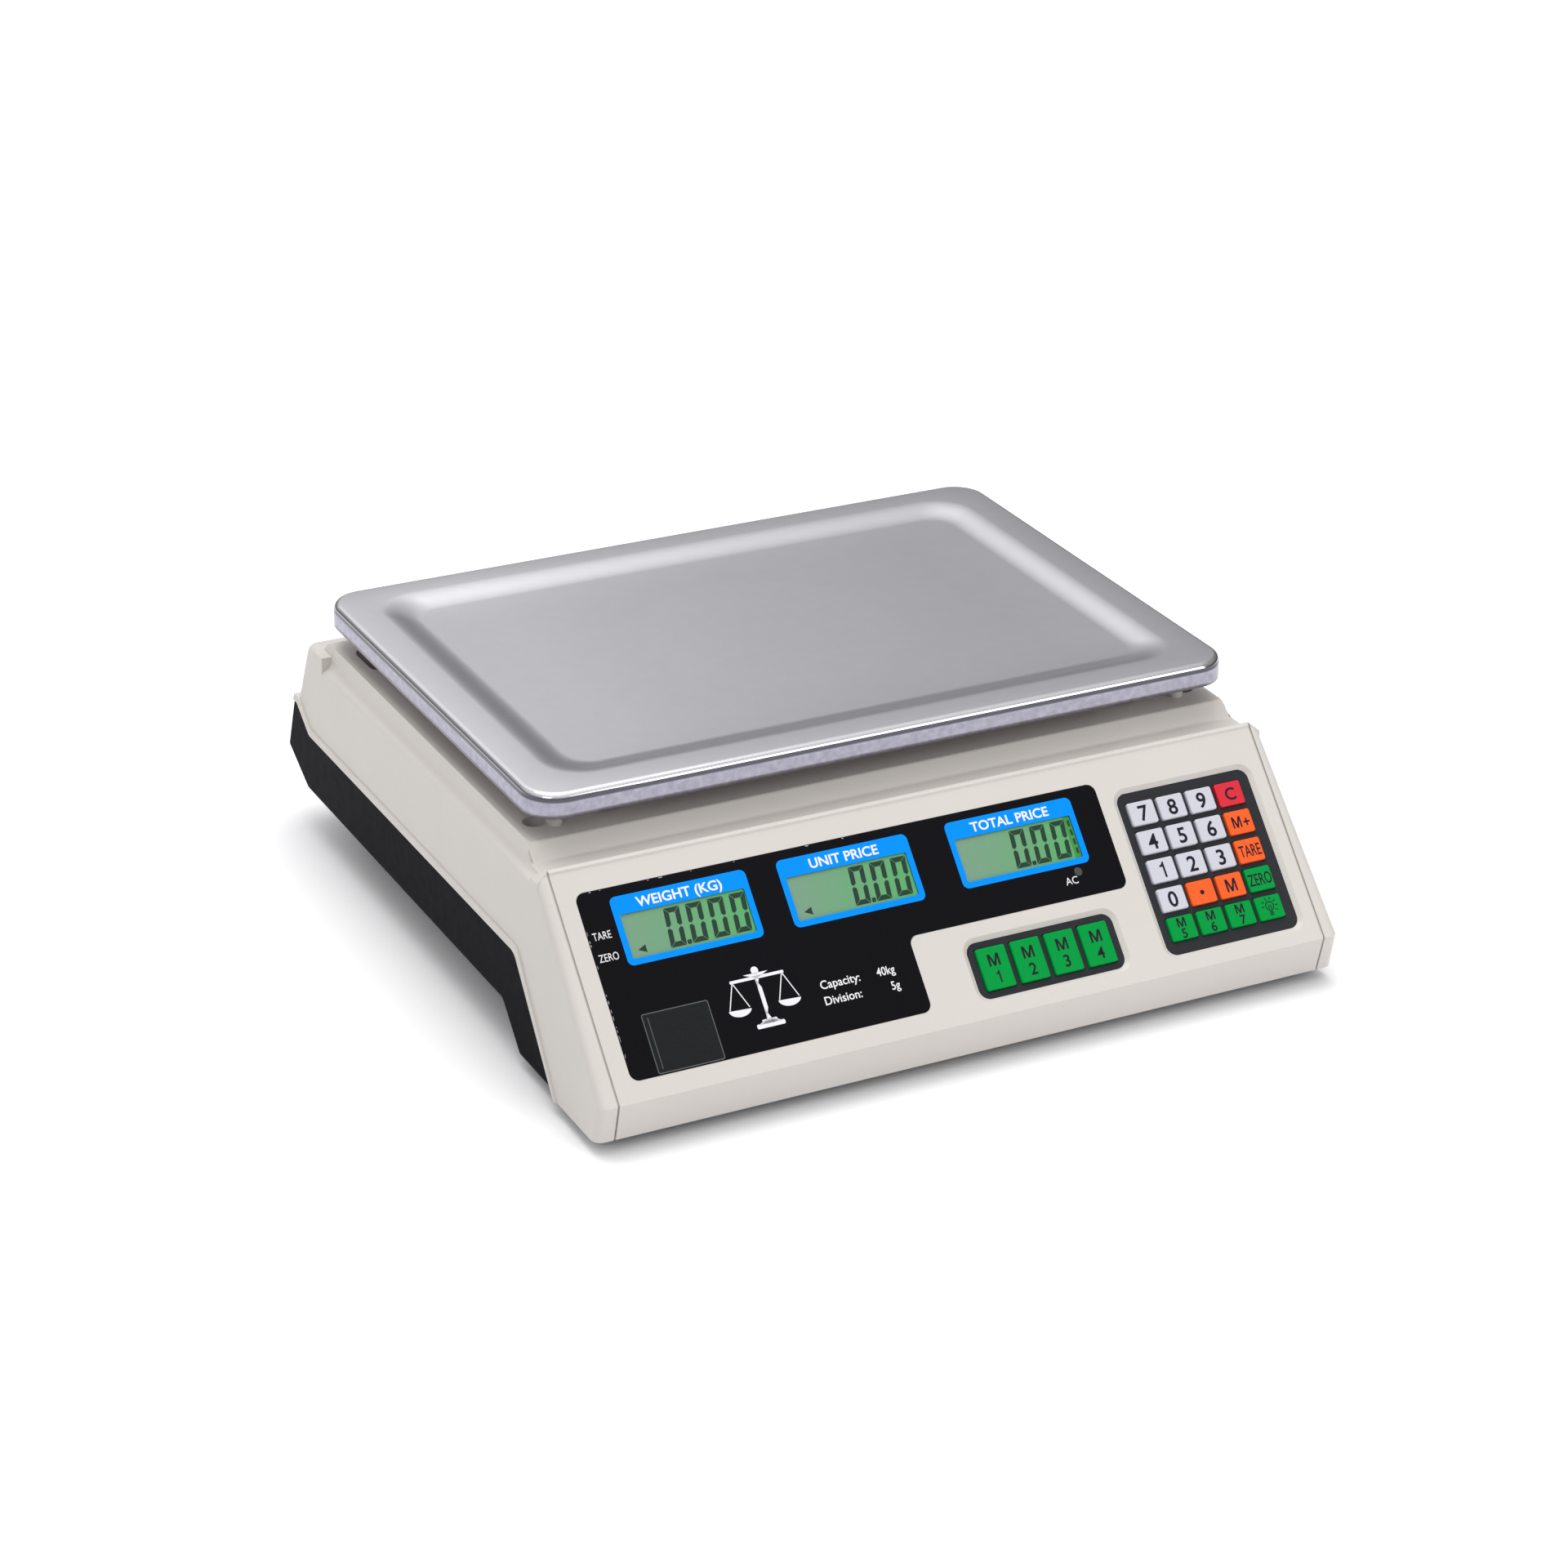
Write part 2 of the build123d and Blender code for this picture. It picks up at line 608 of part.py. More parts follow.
def make_display_board(plane, u0, u1, v0, v1, w, chips):
    """A display driver board with its driver chips and a ribbon header."""
    board = slope_block(plane, u0, u1, v0, v1, w - 1.6, w, 1.5)
    pieces = [board]
    for u, v in chips:
        pieces.append(centred_block(plane, (u, v), (12, 9), w - 3.4, w - 1.6))
    pieces.append(
        centred_block(plane, ((u0 + u1) / 2 + 38, (v0 + v1) / 2), (26, 6), w - 9, w - 1.6)
    )
    return pieces


def make_lcd(plane, place, body, w_back):
    """A display module: a glass face stepped on its backlight block."""
    block_back = centred_block(plane, place, body, w_back, -1.7)
    front = centred_block(plane, place, (body[0] - 0.6, body[1] - 0.6), -1.7, -0.5, 0.6)
    return block_back + front


def make_front_overlay():
    """The printed film of the front panel, open over the displays, the lamp and the level."""
    film = panel_plane.location * (
        Pos(0, 0, OVERLAY_W[0]) * extrude(overlay_face(), OVERLAY_W[1] - OVERLAY_W[0])
    )
    for place in FRONT_LCDS.values():
        film -= centred_block(panel_plane, place, LCD_SIZE, -2, 2, 0.8)
    u0, u1, v0, v1 = LEVEL_WINDOW
    film -= slope_block(panel_plane, u0 - 0.1, u1 + 0.1, v0 - 0.1, v1 + 0.1, -2, 2, 1.1)
    film -= panel_plane.location * (Pos(LED_PLACE[0], -LED_PLACE[1], 0) * Cylinder(LED_HOLE_RADIUS, 20))
    return film


def make_rear_overlay():
    """The printed film of the customer's display, open over its three windows."""
    sheet = extrude(RectangleRounded(*REAR_FILM), OVERLAY_W[1] - OVERLAY_W[0])
    film = rear_plane.location * (Pos(0, -REAR_FILM_V, OVERLAY_W[0]) * sheet)
    for place in REAR_LCDS:
        film -= centred_block(rear_plane, place, REAR_LCD_SIZE, -2, 2, 0.8)
    return film


def make_level_vial():
    """A round spirit level in its black cup, on the post of the base."""
    x, y = LEVEL_POST
    cup = post(x, y, 24.4, 33.4, 21) - post(x, y, 26.4, 34, 17.2)
    vial = post(x, y, 26.4, 34.6, 17)
    vial = fillet(vial.edges().group_by(Axis.Z)[-1], 2.0)
    return cup, vial


def make_level_window():
    """The clear window over the spirit level."""
    u0, u1, v0, v1 = LEVEL_WINDOW
    window = slope_block(panel_plane, u0, u1, v0, v1, -WALL, 0.2, 1.0)
    return window - slope_block(panel_plane, u0 + 1.6, u1 - 1.6, v0 + 1.6, v1 - 1.6, -5, -1.2, 0.6)


def make_main_board():
    """The main circuit board and its larger components, each a separate solid."""
    x0, x1, y0, y1 = MAIN_BOARD
    top = MAIN_BOARD_Z + 1.6
    board = block(x0, x1, y0, y1, MAIN_BOARD_Z, top, 2)
    for x in BOARD_POSTS[0]:
        for y in BOARD_POSTS[1]:
            board -= post(x, y, 30, 40, 3.2)
    pieces = [board]
    pieces.append(block(-128, -114, -30, -16, top, top + 2.4))
    pieces.append(block(-150, -140, -30, -10, top, top + 3.6))
    pieces.append(block(-146, -126, 14, 20, top, top + 9))
    pieces.append(block(-116, -100, 14, 20, top, top + 9))
    pieces.append(block(-148, -118, -54, -48, top, top + 9))
    pieces.append(block(-90, -86, -20, 0, top, top + 22))
    for x, y, size, height in ((-100, -38, 13, 21), (-100, -22, 10, 16), (-100, -5, 8, 12)):
        pieces.append(post(x, y, top, top + height, size))
    pieces.append(post(-135, 2, top, top + 9, 12))
    return pieces


def make_transformer():
    """A small mains transformer: laminated core in a strap, with its bobbin through it."""
    x, y = -132.0, 82.0
    floor = BASE_BOTTOM_Z + BASE_WALL
    core = block(x - 20, x + 20, y - 9, y + 9, floor + 1.2, floor + 35)
    core -= block(x - 12.5, x + 12.5, y - 20, y + 20, floor + 8, floor + 28)
    core += block(x - 5, x + 5, y - 9, y + 9, floor + 8, floor + 28)
    bobbin = block(x - 12.2, x + 12.2, y - 17, y + 17, floor + 8.2, floor + 27.8, 2)
    bobbin -= block(x - 5, x + 5, y - 9, y + 9, floor, floor + 40)
    strap = block(x - 30, x + 30, y - 8, y + 8, floor, floor + 1.2)
    return core, bobbin, strap


def make_power_inlet():
    """A two-pin mains inlet: a shell with a figure-8 socket, and two pins."""
    side = BASE_HALF_WIDTH
    y, z = INLET_Y, SIDE_FITTING_Z
    shell = block(side - 24, side, y - 12, y + 12, z - 7, z + 7)
    shell += block(side, side + 1.4, y - 14, y + 14, z - 9, z + 9)
    half = PIN_SPACING / 2
    lobes = Pos(-half, 0) * Circle(4.5) + Pos(half, 0) * Circle(4.5) + Rectangle(PIN_SPACING, 7.0)
    shell -= Pos(side - 11, y, z) * extrude(Plane.YZ * lobes, 20)
    pins = []
    for offset_y in (-half, half):
        pin = Pos(side - 14, y + offset_y, z) * Rot(0, 90, 0) * Cylinder(1.2, 22)
        shell -= Pos(side - 14, y + offset_y, z) * Rot(0, 90, 0) * Cylinder(1.2, 22)
        pins.append(pin)
    return [shell, *pins]


def make_switch_frame():
    """The frame of the rocker switch, open to the outside."""
    side = BASE_HALF_WIDTH
    y, z = SWITCH_Y, SIDE_FITTING_Z
    frame = block(side - 17, side, y - 11, y + 11, z - 6.5, z + 6.5)
    frame += block(side, side + 1.4, y - 12.5, y + 12.5, z - 8, z + 8)
    frame -= block(side - 12, side + 10, y - 9.0, y + 9.0, z - 5.4, z + 5.4)
    return frame


def make_rocker():
    """The rocker: a shallow V outside, tilted to its off side, on two pivot stubs inside."""
    face = outline([(-3.0, -5.0), (5.7, -7.6), (4.5, 0.0), (5.7, 7.6), (-3.0, 5.0)])
    body = extrude(face, 5.0, both=True)
    return Pos(SWITCH_PIVOT_X, SWITCH_Y, SIDE_FITTING_Z) * Rot(0, 0, ROCKER_TILT) * body


def make_housing_screws():
    """The four screws that hold the housing down on the base's posts."""
    screws = []
    for x, y in (WELL_FRONT, WELL_REAR):
        for side in (-1, 1):
            screws.append(bolt(side * x, y, WELL_FLOOR_Z, True, 26, 4, 8, 3))
    return screws


def make_tapping_screws():
    """The small screws: four for the battery cover from below, four for the main board."""
    screws = [bolt(x, y, BASE_BOTTOM_Z - 2.2, False, 7.5, 2.5, 5, 1.8) for x, y in hatch_screws()]
    for x in BOARD_POSTS[0]:
        for y in BOARD_POSTS[1]:
            screws.append(bolt(x, y, MAIN_BOARD_Z + 1.6, True, 6, 2.5, 5, 1.8))
    return screws


def make_battery():
    """A sealed rechargeable battery with two terminal tabs."""
    x0, x1, y0, y1 = BATTERY
    case = block(x0, x1, y0, y1, BASE_BOTTOM_Z + 0.2, BATTERY_TOP_Z, 1.5)
    tabs = [
        block(x, x + 5, y0 + 12, y0 + 12.8, BATTERY_TOP_Z, BATTERY_TOP_Z + 6)
        for x in (x0 + 10, x1 - 15)
    ]
    return [case, *tabs]


def make_battery_cover():
    """The plate under the battery, screwed to the base from below."""
    x0, x1, y0, y1 = HATCH_COVER
    cover = block(x0, x1, y0, y1, BASE_BOTTOM_Z - 2.2, BASE_BOTTOM_Z, 4)
    for x, y in hatch_screws():
        cover -= post(x, y, 0, 30, 3.0)
    return cover


def make_led():
    """The mains lamp in the front panel: a small domed LED."""
    lamp = Pos(0, 0, -7.0) * extrude(Circle(LED_DIAMETER / 2), 7.4)
    lamp = fillet(lamp.edges().group_by(Axis.Z)[-1], 0.6)
    return panel_plane.location * (Pos(LED_PLACE[0], -LED_PLACE[1], 0) * lamp)


keys = key_places()
number_keys = keys[:20]
memory_keys = keys[20:]

save("lower_base", make_lower_base())
save("upper_housing", make_upper_housing())
save("front_overlay", make_front_overlay())
save("rear_overlay", make_rear_overlay())
for lcd_name, lcd_place in FRONT_LCDS.items():
    save(lcd_name, make_lcd(panel_plane, lcd_place, LCD_BODY, -7.0))
save("rear_lcds", *[make_lcd(rear_plane, p, REAR_LCD_BODY, -6.5) for p in REAR_LCDS])
save("keypad_plate", make_key_plate(NUMBER_PAD, number_keys))
save("memory_keypad_plate", make_key_plate(MEMORY_PAD, memory_keys))
save("keypad_board", *make_key_board(NUMBER_PAD, number_keys))
save("memory_keypad_board", *make_key_board(MEMORY_PAD, memory_keys))
front_chips = [(-117, 34), (-40, 34), (41, 34)]
save("front_display_board", *make_display_board(panel_plane, -152, 76, 14, 54, -7.0, front_chips))
rear_chips = [(-80, 18), (80, 18)]
save("rear_display_board", *make_display_board(rear_plane, -116, 116, 5, 33, -6.5, rear_chips))
save("main_board", *make_main_board())
save("load_cell", make_load_cell())
save("load_cell_base_bolts", *[
    bolt(-x, PAN_CENTRE_Y, 33, False, 45, 6, 10, 6) for x in CELL_BOLT_X
])
save("battery", *make_battery())
save("battery_cover", make_battery_cover())
save("transformer", *make_transformer())
save("level_vial", *make_level_vial())
save("level_window", make_level_window())
save("power_inlet", *make_power_inlet())
save("power_switch_frame", make_switch_frame())
save("power_switch_rocker", make_rocker())
save("ac_led", make_led())
save("housing_screws", *make_housing_screws())
save("tapping_screws", *make_tapping_screws())
save("pan_support", make_pan_support())
save("pan_support_pads", *[post(x, y, *PAD_Z, 22) for x, y in arm_ends()])
save("pan_support_bolts", *[
    bolt(x, PAN_CENTRE_Y, 104, True, 40, 6, 10, 6) for x in CELL_BOLT_X
])
save("platter", make_platter())
for name, u, v, width, height in keys:
    save(name, make_key(u, v, width, height))
for row, y in zip(("front", "rear"), FOOT_Y):
    for hand, x in (("left", -FOOT_X), ("right", FOOT_X)):
        save(f"foot_{row}_{hand}", make_foot(x, y))
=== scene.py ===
import math
import random

import bmesh
import bpy
from mathutils import Matrix, Vector


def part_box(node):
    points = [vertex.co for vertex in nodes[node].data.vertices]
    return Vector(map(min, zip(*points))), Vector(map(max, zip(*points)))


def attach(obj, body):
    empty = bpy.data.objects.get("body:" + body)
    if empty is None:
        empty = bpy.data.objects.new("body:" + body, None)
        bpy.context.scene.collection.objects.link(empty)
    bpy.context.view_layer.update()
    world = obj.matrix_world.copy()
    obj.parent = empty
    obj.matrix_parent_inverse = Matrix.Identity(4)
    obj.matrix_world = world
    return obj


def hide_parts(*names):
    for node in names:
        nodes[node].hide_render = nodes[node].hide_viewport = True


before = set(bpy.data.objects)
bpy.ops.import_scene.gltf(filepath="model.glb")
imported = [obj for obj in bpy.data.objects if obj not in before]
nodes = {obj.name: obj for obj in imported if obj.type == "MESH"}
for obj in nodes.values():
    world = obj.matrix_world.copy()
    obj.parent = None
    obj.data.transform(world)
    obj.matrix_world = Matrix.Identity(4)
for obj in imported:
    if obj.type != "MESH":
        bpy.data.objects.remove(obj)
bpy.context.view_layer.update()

MM = 0.001

# The camera's place in metres and its direction in degrees.
CAMERA_PLACE = (-0.76509, -1.47835, 0.84889)
CAMERA_AZIMUTH = 27.204
CAMERA_ELEVATION = 25.435
CAMERA_ROLL = 0.729
CAMERA_LENS = 92.857

# The white tent's brightness by the height of the direction, and its fade towards +X.
TENT_LEVELS = ((0.10, 0.13), (0.30, 0.30), (0.47, 0.50), (0.72, 0.68))
TENT_FADE = (0.36, 0.66)
TENT_STRENGTH = (1.4, 0.7)

# Each softbox: place, the point it faces, width and height in metres, power in watts.
SOFTBOXES = {
    "overhead": ((-0.1, 0.35, 2.2), (0, 0, 0), 1.6, 1.4, 23),
    "behind": ((-0.05, 1.3, 1.17), (0, 0, 0.1), 1.2, 0.9, 1.5),
    "left_front": ((-1.9, -1.6, 1.5), (0, -0.1, 0.05), 1.2, 1.2, 5),
    "right_front": ((1.3, -2.1, 1.1), (0.1, -0.1, 0.05), 1.2, 1.2, 16),
}
FLOOR_SIDE = 30.0
FLOOR_COLOUR = (0.94, 0.94, 0.945)


# ---------------------------------------------------------------- camera, floor and lights

def make_camera():
    azimuth, elevation, roll = (
        math.radians(a) for a in (CAMERA_AZIMUTH, CAMERA_ELEVATION, CAMERA_ROLL)
    )
    forward = Vector((
        math.sin(azimuth) * math.cos(elevation),
        math.cos(azimuth) * math.cos(elevation),
        -math.sin(elevation),
    ))
    level = forward.cross(Vector((0, 0, 1))).normalized()
    upright = level.cross(forward)
    right = math.cos(roll) * level + math.sin(roll) * upright
    up = math.cos(roll) * upright - math.sin(roll) * level
    camera = bpy.data.objects.new("camera", bpy.data.cameras.new("camera"))
    camera.data.sensor_width = 36.0
    camera.data.lens = CAMERA_LENS
    camera.data.clip_start = 0.05
    camera.data.clip_end = 60.0
    turn = Matrix((right, up, -forward)).transposed().to_4x4()
    camera.matrix_world = Matrix.Translation(CAMERA_PLACE) @ turn
    bpy.context.scene.collection.objects.link(camera)
    bpy.context.scene.camera = camera


def add_softbox(name, place, target, width, height, power):
    light = bpy.data.lights.new(name, "AREA")
    light.shape = "RECTANGLE"
    light.size = width
    light.size_y = height
    light.energy = power
    lamp = bpy.data.objects.new(name, light)
    lamp.location = place
    lamp.rotation_euler = (Vector(target) - Vector(place)).to_track_quat("-Z", "Y").to_euler()
    lamp.visible_camera = False
    bpy.context.scene.collection.objects.link(lamp)


def make_world():
    """A white tent: bright overhead, dim along the horizon and towards the right."""
    world = bpy.data.worlds.new("studio")
    bpy.context.scene.world = world
    world.use_nodes = True
    tree = world.node_tree
    direction = tree.nodes.new("ShaderNodeTexCoord").outputs["Generated"]
    parts = tree.nodes.new("ShaderNodeSeparateXYZ")
    ramp = tree.nodes.new("ShaderNodeValToRGB")
    tree.links.new(direction, parts.inputs[0])
    tree.links.new(parts.outputs["Z"], ramp.inputs["Fac"])
    stops = ramp.color_ramp.elements
    stops[0].position, stops[0].color = 0.0, (0.05, 0.05, 0.055, 1)
    stops[1].position, stops[1].color = 1.0, (1.0, 1.0, 1.0, 1)
    for position, level in TENT_LEVELS:
        stops.new(position).color = (level, level, level * 1.02, 1)
    fade = tree.nodes.new("ShaderNodeMapRange")
    tree.links.new(parts.outputs["X"], fade.inputs["Value"])
    sockets = ("From Min", "From Max", "To Min", "To Max")
    for socket, limit in zip(sockets, TENT_FADE + TENT_STRENGTH):
        fade.inputs[socket].default_value = limit
    background = tree.nodes["Background"]
    tree.links.new(ramp.outputs["Color"], background.inputs["Color"])
    tree.links.new(fade.outputs["Result"], background.inputs["Strength"])


def make_floor():
    mesh = bpy.data.meshes.new("floor")
    corners = ((-1, -1), (1, -1), (1, 1), (-1, 1))
    mesh.from_pydata([(x * FLOOR_SIDE, y * FLOOR_SIDE, 0) for x, y in corners], [], [(0, 1, 2, 3)])
    floor = bpy.data.objects.new("floor", mesh)
    bpy.context.scene.collection.objects.link(floor)
    shade = Shader("floor_white", FLOOR_COLOUR, roughness=0.9)
    shade.mottle(FLOOR_COLOUR, 0.008, 2.0)
    mesh.materials.append(shade.material)


def make_studio():
    make_floor()
    make_world()
    for name, settings in SOFTBOXES.items():
        add_softbox(name, *settings)
    bpy.context.scene.view_settings.view_transform = "Standard"


# ---------------------------------------------------------------- shader helper

class Shader:
    """A Principled material and the few nodes that its pattern needs."""

    def __init__(self, name, colour, roughness=0.5, metallic=0.0, **sockets):
        self.material = bpy.data.materials.new(name)
        self.material.use_nodes = True
        self.tree = self.material.node_tree
        self.surface = self.tree.nodes["Principled BSDF"]
        self.set("Base Color", (*colour, 1))
        self.set("Roughness", roughness)
        self.set("Metallic", metallic)
        for socket, value in sockets.items():
            self.set(socket.replace("_", " "), value)
        self.material.diffuse_color = (*colour, 1)

    def set(self, socket, value):
        self.surface.inputs[socket].default_value = value

    def drive(self, socket, output):
        self.tree.links.new(output, self.surface.inputs[socket])

    def node(self, kind, inputs=(), **settings):
        made = self.tree.nodes.new(kind)
        for key, value in settings.items():
            setattr(made, key, value)
        for key, value in dict(inputs).items():
            if isinstance(value, bpy.types.NodeSocket):
                self.tree.links.new(value, made.inputs[key])
            else:
                made.inputs[key].default_value = value
        return made

    def place(self, stretch=(1, 1, 1)):
        """Where a point is in the object's own frame, in metres, stretched."""
        spot = self.node("ShaderNodeTexCoord").outputs["Object"]
        return self.node("ShaderNodeMapping", {"Vector": spot, "Scale": stretch}).outputs[0]

    def noise(self, scale, detail=3.0, stretch=(1, 1, 1)):
        spot = self.place(stretch)
        return self.node(
            "ShaderNodeTexNoise", {"Vector": spot, "Scale": scale, "Detail": detail}
        ).outputs["Fac"]

    def span(self, fac, low, high, from_low=0.0, from_high=1.0):
        """A factor stretched to another range of numbers."""
        return self.node(
            "ShaderNodeMapRange",
            {"Value": fac, "From Min": from_low, "From Max": from_high,
             "To Min": low, "To Max": high},
        ).outputs["Result"]

    def blend(self, fac, a, b):
        """A colour between a and b."""
        made = self.node("ShaderNodeMix", {"Factor": fac}, data_type="RGBA")
        for key, value in ((6, a), (7, b)):
            if isinstance(value, bpy.types.NodeSocket):
                self.tree.links.new(value, made.inputs[key])
            else:
                made.inputs[key].default_value = (*value, 1)
        return made.outputs[2]

    def maths(self, operation, a, b=0.0):
        return self.node("ShaderNodeMath", {0: a, 1: b}, operation=operation).outputs[0]

    def distance(self, a, b):
        """The length of the vector (a, b)."""
        squares = [self.maths("MULTIPLY", side, side) for side in (a, b)]
        return self.maths("SQRT", self.maths("ADD", *squares))

    def bump(self, height, strength, distance):
        made = self.node(
            "ShaderNodeBump", {"Height": height, "Strength": strength, "Distance": distance}
        )
        self.drive("Normal", made.outputs["Normal"])

    def mottle(self, colour, amount, scale):
        """The colour wavers between a darker and a lighter tone."""
        dark = [c * (1 - amount) for c in colour]
        light = [min(1.0, c * (1 + amount)) for c in colour]
        self.drive("Base Color", self.blend(self.noise(scale), dark, light))


# Specular levels of plastics that shine less than the housing.
LOW = 0.25
DULL = 0.06
FLAT = 0.02


def moulded_plastic(name, colour, roughness, grain=0.12, amount=0.03, specular=0.4):
    """Injection-moulded plastic: a fine spark-eroded grain and slight colour drift."""
    shade = Shader(name, colour, roughness, Specular_IOR_Level=specular)
    shade.mottle(colour, amount, 14.0)
    shade.drive("Roughness", shade.span(shade.noise(180.0), roughness - 0.06, roughness + 0.07))
    shade.bump(shade.noise(2600.0, 2.0), grain, 0.0001)
    return shade.material


RING_BORDER = (57.0 * MM, 63.0 * MM)


def platter_steel():
    """Satin stainless steel with a glossier rolled edge, a faint ring round its middle, and painted
    shade with a painted dark reflection line on its skirt.
    """
    low, high = (Vector(corner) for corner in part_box("platter"))
    middle, half = (low + high) / 2, (high - low) / 2
    shade = Shader("platter_steel", (0.60, 0.60, 0.62), 0.3, 1.0)
    brush = shade.noise(55.0, 4.0, stretch=(1.0, 9.0, 4.0))
    grain = shade.noise(160.0, 3.0)
    tone = shade.blend(shade.noise(7.0), (0.60, 0.595, 0.62), (0.665, 0.66, 0.68))
    top = shade.blend(shade.span(grain, 0.0, 0.35), tone, (0.52, 0.52, 0.55))
    spot = shade.node(
        "ShaderNodeVectorMath", {0: shade.place(), 1: tuple(middle)}, operation="SUBTRACT"
    ).outputs[0]
    axes = shade.node("ShaderNodeSeparateXYZ", {"Vector": spot}).outputs

    # The distance to the pan's outline, below zero inside it.
    beyond = [
        shade.maths("MAXIMUM", shade.maths(
            "SUBTRACT", shade.maths("ABSOLUTE", axes[i]), half[i] - PAN_CORNER
        ))
        for i in (0, 1)
    ]
    inset = shade.maths("SUBTRACT", shade.distance(*beyond), PAN_CORNER)

    radius = shade.distance(axes[0], axes[1])
    ring = shade.span(radius, 1.0, 0.0, *RING_BORDER)
    satin = shade.maths("ADD", shade.span(brush, 0.29, 0.33), shade.maths("MULTIPLY", ring, 0.008))
    rolled = shade.span(inset, 1.0, 0.35, -2.8 * MM, -1.2 * MM)

    # The skirt under the rolled edge: dull and scuffed, darkened with painted shade for its dim
    # reflection, with a painted dark reflection line where it bends.
    skirt = shade.span(axes[2], 0.30, 0.0, 0.5 * MM, 2.0 * MM)
    scuffs = shade.span(shade.noise(300.0, 4.0), 0.0, 1.0, 0.35, 0.65)
    # The skirt's darker lilac tone is painted shade for its dim reflection; its blotches are
    # scuffs.
    side = shade.blend(scuffs, (0.31, 0.30, 0.36), (0.40, 0.39, 0.46))
    # bend: a painted dark reflection line across the bend of the rolled edge.
    bend = shade.blend(
        shade.span(axes[2], 0.0, 1.0, 1.2 * MM, 1.9 * MM), side, (0.10, 0.10, 0.12)
    )
    # The outer edge's colour: the darkened skirt, the painted dark reflection line, then the top.
    edge = shade.blend(shade.span(axes[2], 0.0, 1.0, 3.0 * MM, 3.8 * MM), bend, top)
    outside = shade.span(inset, 0.0, 1.0, -0.7 * MM, -0.35 * MM)
    shade.drive("Base Color", shade.blend(outside, top, edge))
    shade.drive("Roughness", shade.maths("MAXIMUM", shade.maths("MULTIPLY", satin, rolled), skirt))
    shade.bump(shade.maths("ADD", brush, shade.maths("MULTIPLY", ring, 3.0)), 0.006, 0.0001)
    return shade.material


# ---------------------------------------------------------------- sloping faces

class Face:
    """A sloping face of the housing: u across, v down the slope, w out of it, in metres."""

    def __init__(self, node, across):
        polygon = max(nodes[node].data.polygons, key=lambda p: p.area)
        self.u = Vector(across)
        self.w = Vector(polygon.normal)
        self.w.x = 0
        self.w.normalize()
        if self.w.z < 0:
            self.w = -self.w
        self.v = self.u.cross(self.w)
        self.origin = Vector((0, 0, 0))
        low, high = self.box(node)
        self.origin = self.v * low.y + self.w * high.z

    def local(self, point):
        away = point - self.origin
        return Vector((away.dot(self.u), away.dot(self.v), away.dot(self.w)))

    def box(self, node):
        """Lowest and highest (u, v, w) of a CAD node."""
        points = [self.local(vertex.co) for vertex in nodes[node].data.vertices]
        low = Vector([min(p[i] for p in points) for i in range(3)])
        high = Vector([max(p[i] for p in points) for i in range(3)])
        return low, high

    def at(self, u, v, w=0.0):
        """The frame of a flat drawing whose middle lies there, its Y up the slope."""
        turn = Matrix((self.u, -self.v, self.w)).transposed().to_4x4()
        return Matrix.Translation(self.origin + self.u * u + self.v * v + self.w * w) @ turn


panel = Face("front_overlay", (1, 0, 0))
rear = Face("rear_overlay", (-1, 0, 0))


# ---------------------------------------------------------------- flat printed pieces

PRINT_THICKNESS = 0.03 * MM
PRINT_LIFT = 0.035 * MM

# The height of a capital in the built-in font, as a share of the font's size.
CAPITAL_HEIGHT = 0.729

# Bold glyphs drawn here: outline points with the height as 1.
GLYPHS = {
    "M": [
        (0, 0), (0.155, 0), (0.155, 0.7), (0.385, 0), (0.535, 0), (0.765, 0.7), (0.765, 0),
        (0.92, 0), (0.92, 1), (0.71, 1), (0.46, 0.3), (0.21, 1), (0, 1),
    ],
    "1": [
        (0.2, 0), (0.33, 0), (0.33, 1), (0.23, 1), (0.18, 0.88), (0.1, 0.82), (0, 0.79),
        (0, 0.69), (0.2, 0.69),
    ],
}


def add_piece(name, mesh, material, body):
    """A new object on a CAD body."""
    piece = bpy.data.objects.new(name, mesh)
    bpy.context.scene.collection.objects.link(piece)
    mesh.materials.clear()
    mesh.materials.append(material)
    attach(piece, body)
    return piece


def letter_mesh(text, height, weight, squeeze):
    """The mesh of a line of text, centred, its capitals height tall."""
    curve = bpy.data.curves.new("letters", "FONT")
    curve.body = text
    curve.align_x = "CENTER"
    curve.size = height / CAPITAL_HEIGHT
    curve.offset = weight * height
    curve.extrude = PRINT_THICKNESS
    curve.resolution_u = 4
    holder = bpy.data.objects.new("letters", curve)
    bpy.context.scene.collection.objects.link(holder)
    bpy.context.view_layer.update()
    graph = bpy.context.evaluated_depsgraph_get()
    mesh = bpy.data.meshes.new_from_object(holder.evaluated_get(graph))
    bpy.data.objects.remove(holder)
    mesh.transform(Matrix.Translation((0, -height / 2, 0)))
    mesh.transform(Matrix.Diagonal((squeeze, 1, 1, 1)))
    return mesh


def polygon_mesh(outer, holes=()):
    """A thin flat plate from a closed outline and its holes, in the XY plane."""
    made = bmesh.new()
    edges = []
    for ring in (outer, *holes):
        verts = [made.verts.new((x, y, PRINT_THICKNESS)) for x, y in ring]
        edges += [made.edges.new((a, b)) for a, b in zip(verts, verts[1:] + verts[:1])]
    bmesh.ops.triangle_fill(made, edges=edges, use_beauty=True)
    bmesh.ops.recalc_face_normals(made, faces=made.faces)
    if sum(face.normal.z for face in made.faces) < 0:
        bmesh.ops.reverse_faces(made, faces=made.faces)
    sides = bmesh.ops.extrude_face_region(made, geom=list(made.faces), use_keep_orig=True)
    for item in sides["geom"]:
        if isinstance(item, bmesh.types.BMVert):
            item.co.z -= 2 * PRINT_THICKNESS
    bmesh.ops.recalc_face_normals(made, faces=made.faces)
    mesh = bpy.data.meshes.new("plate")
    made.to_mesh(mesh)
    made.free()
    return mesh


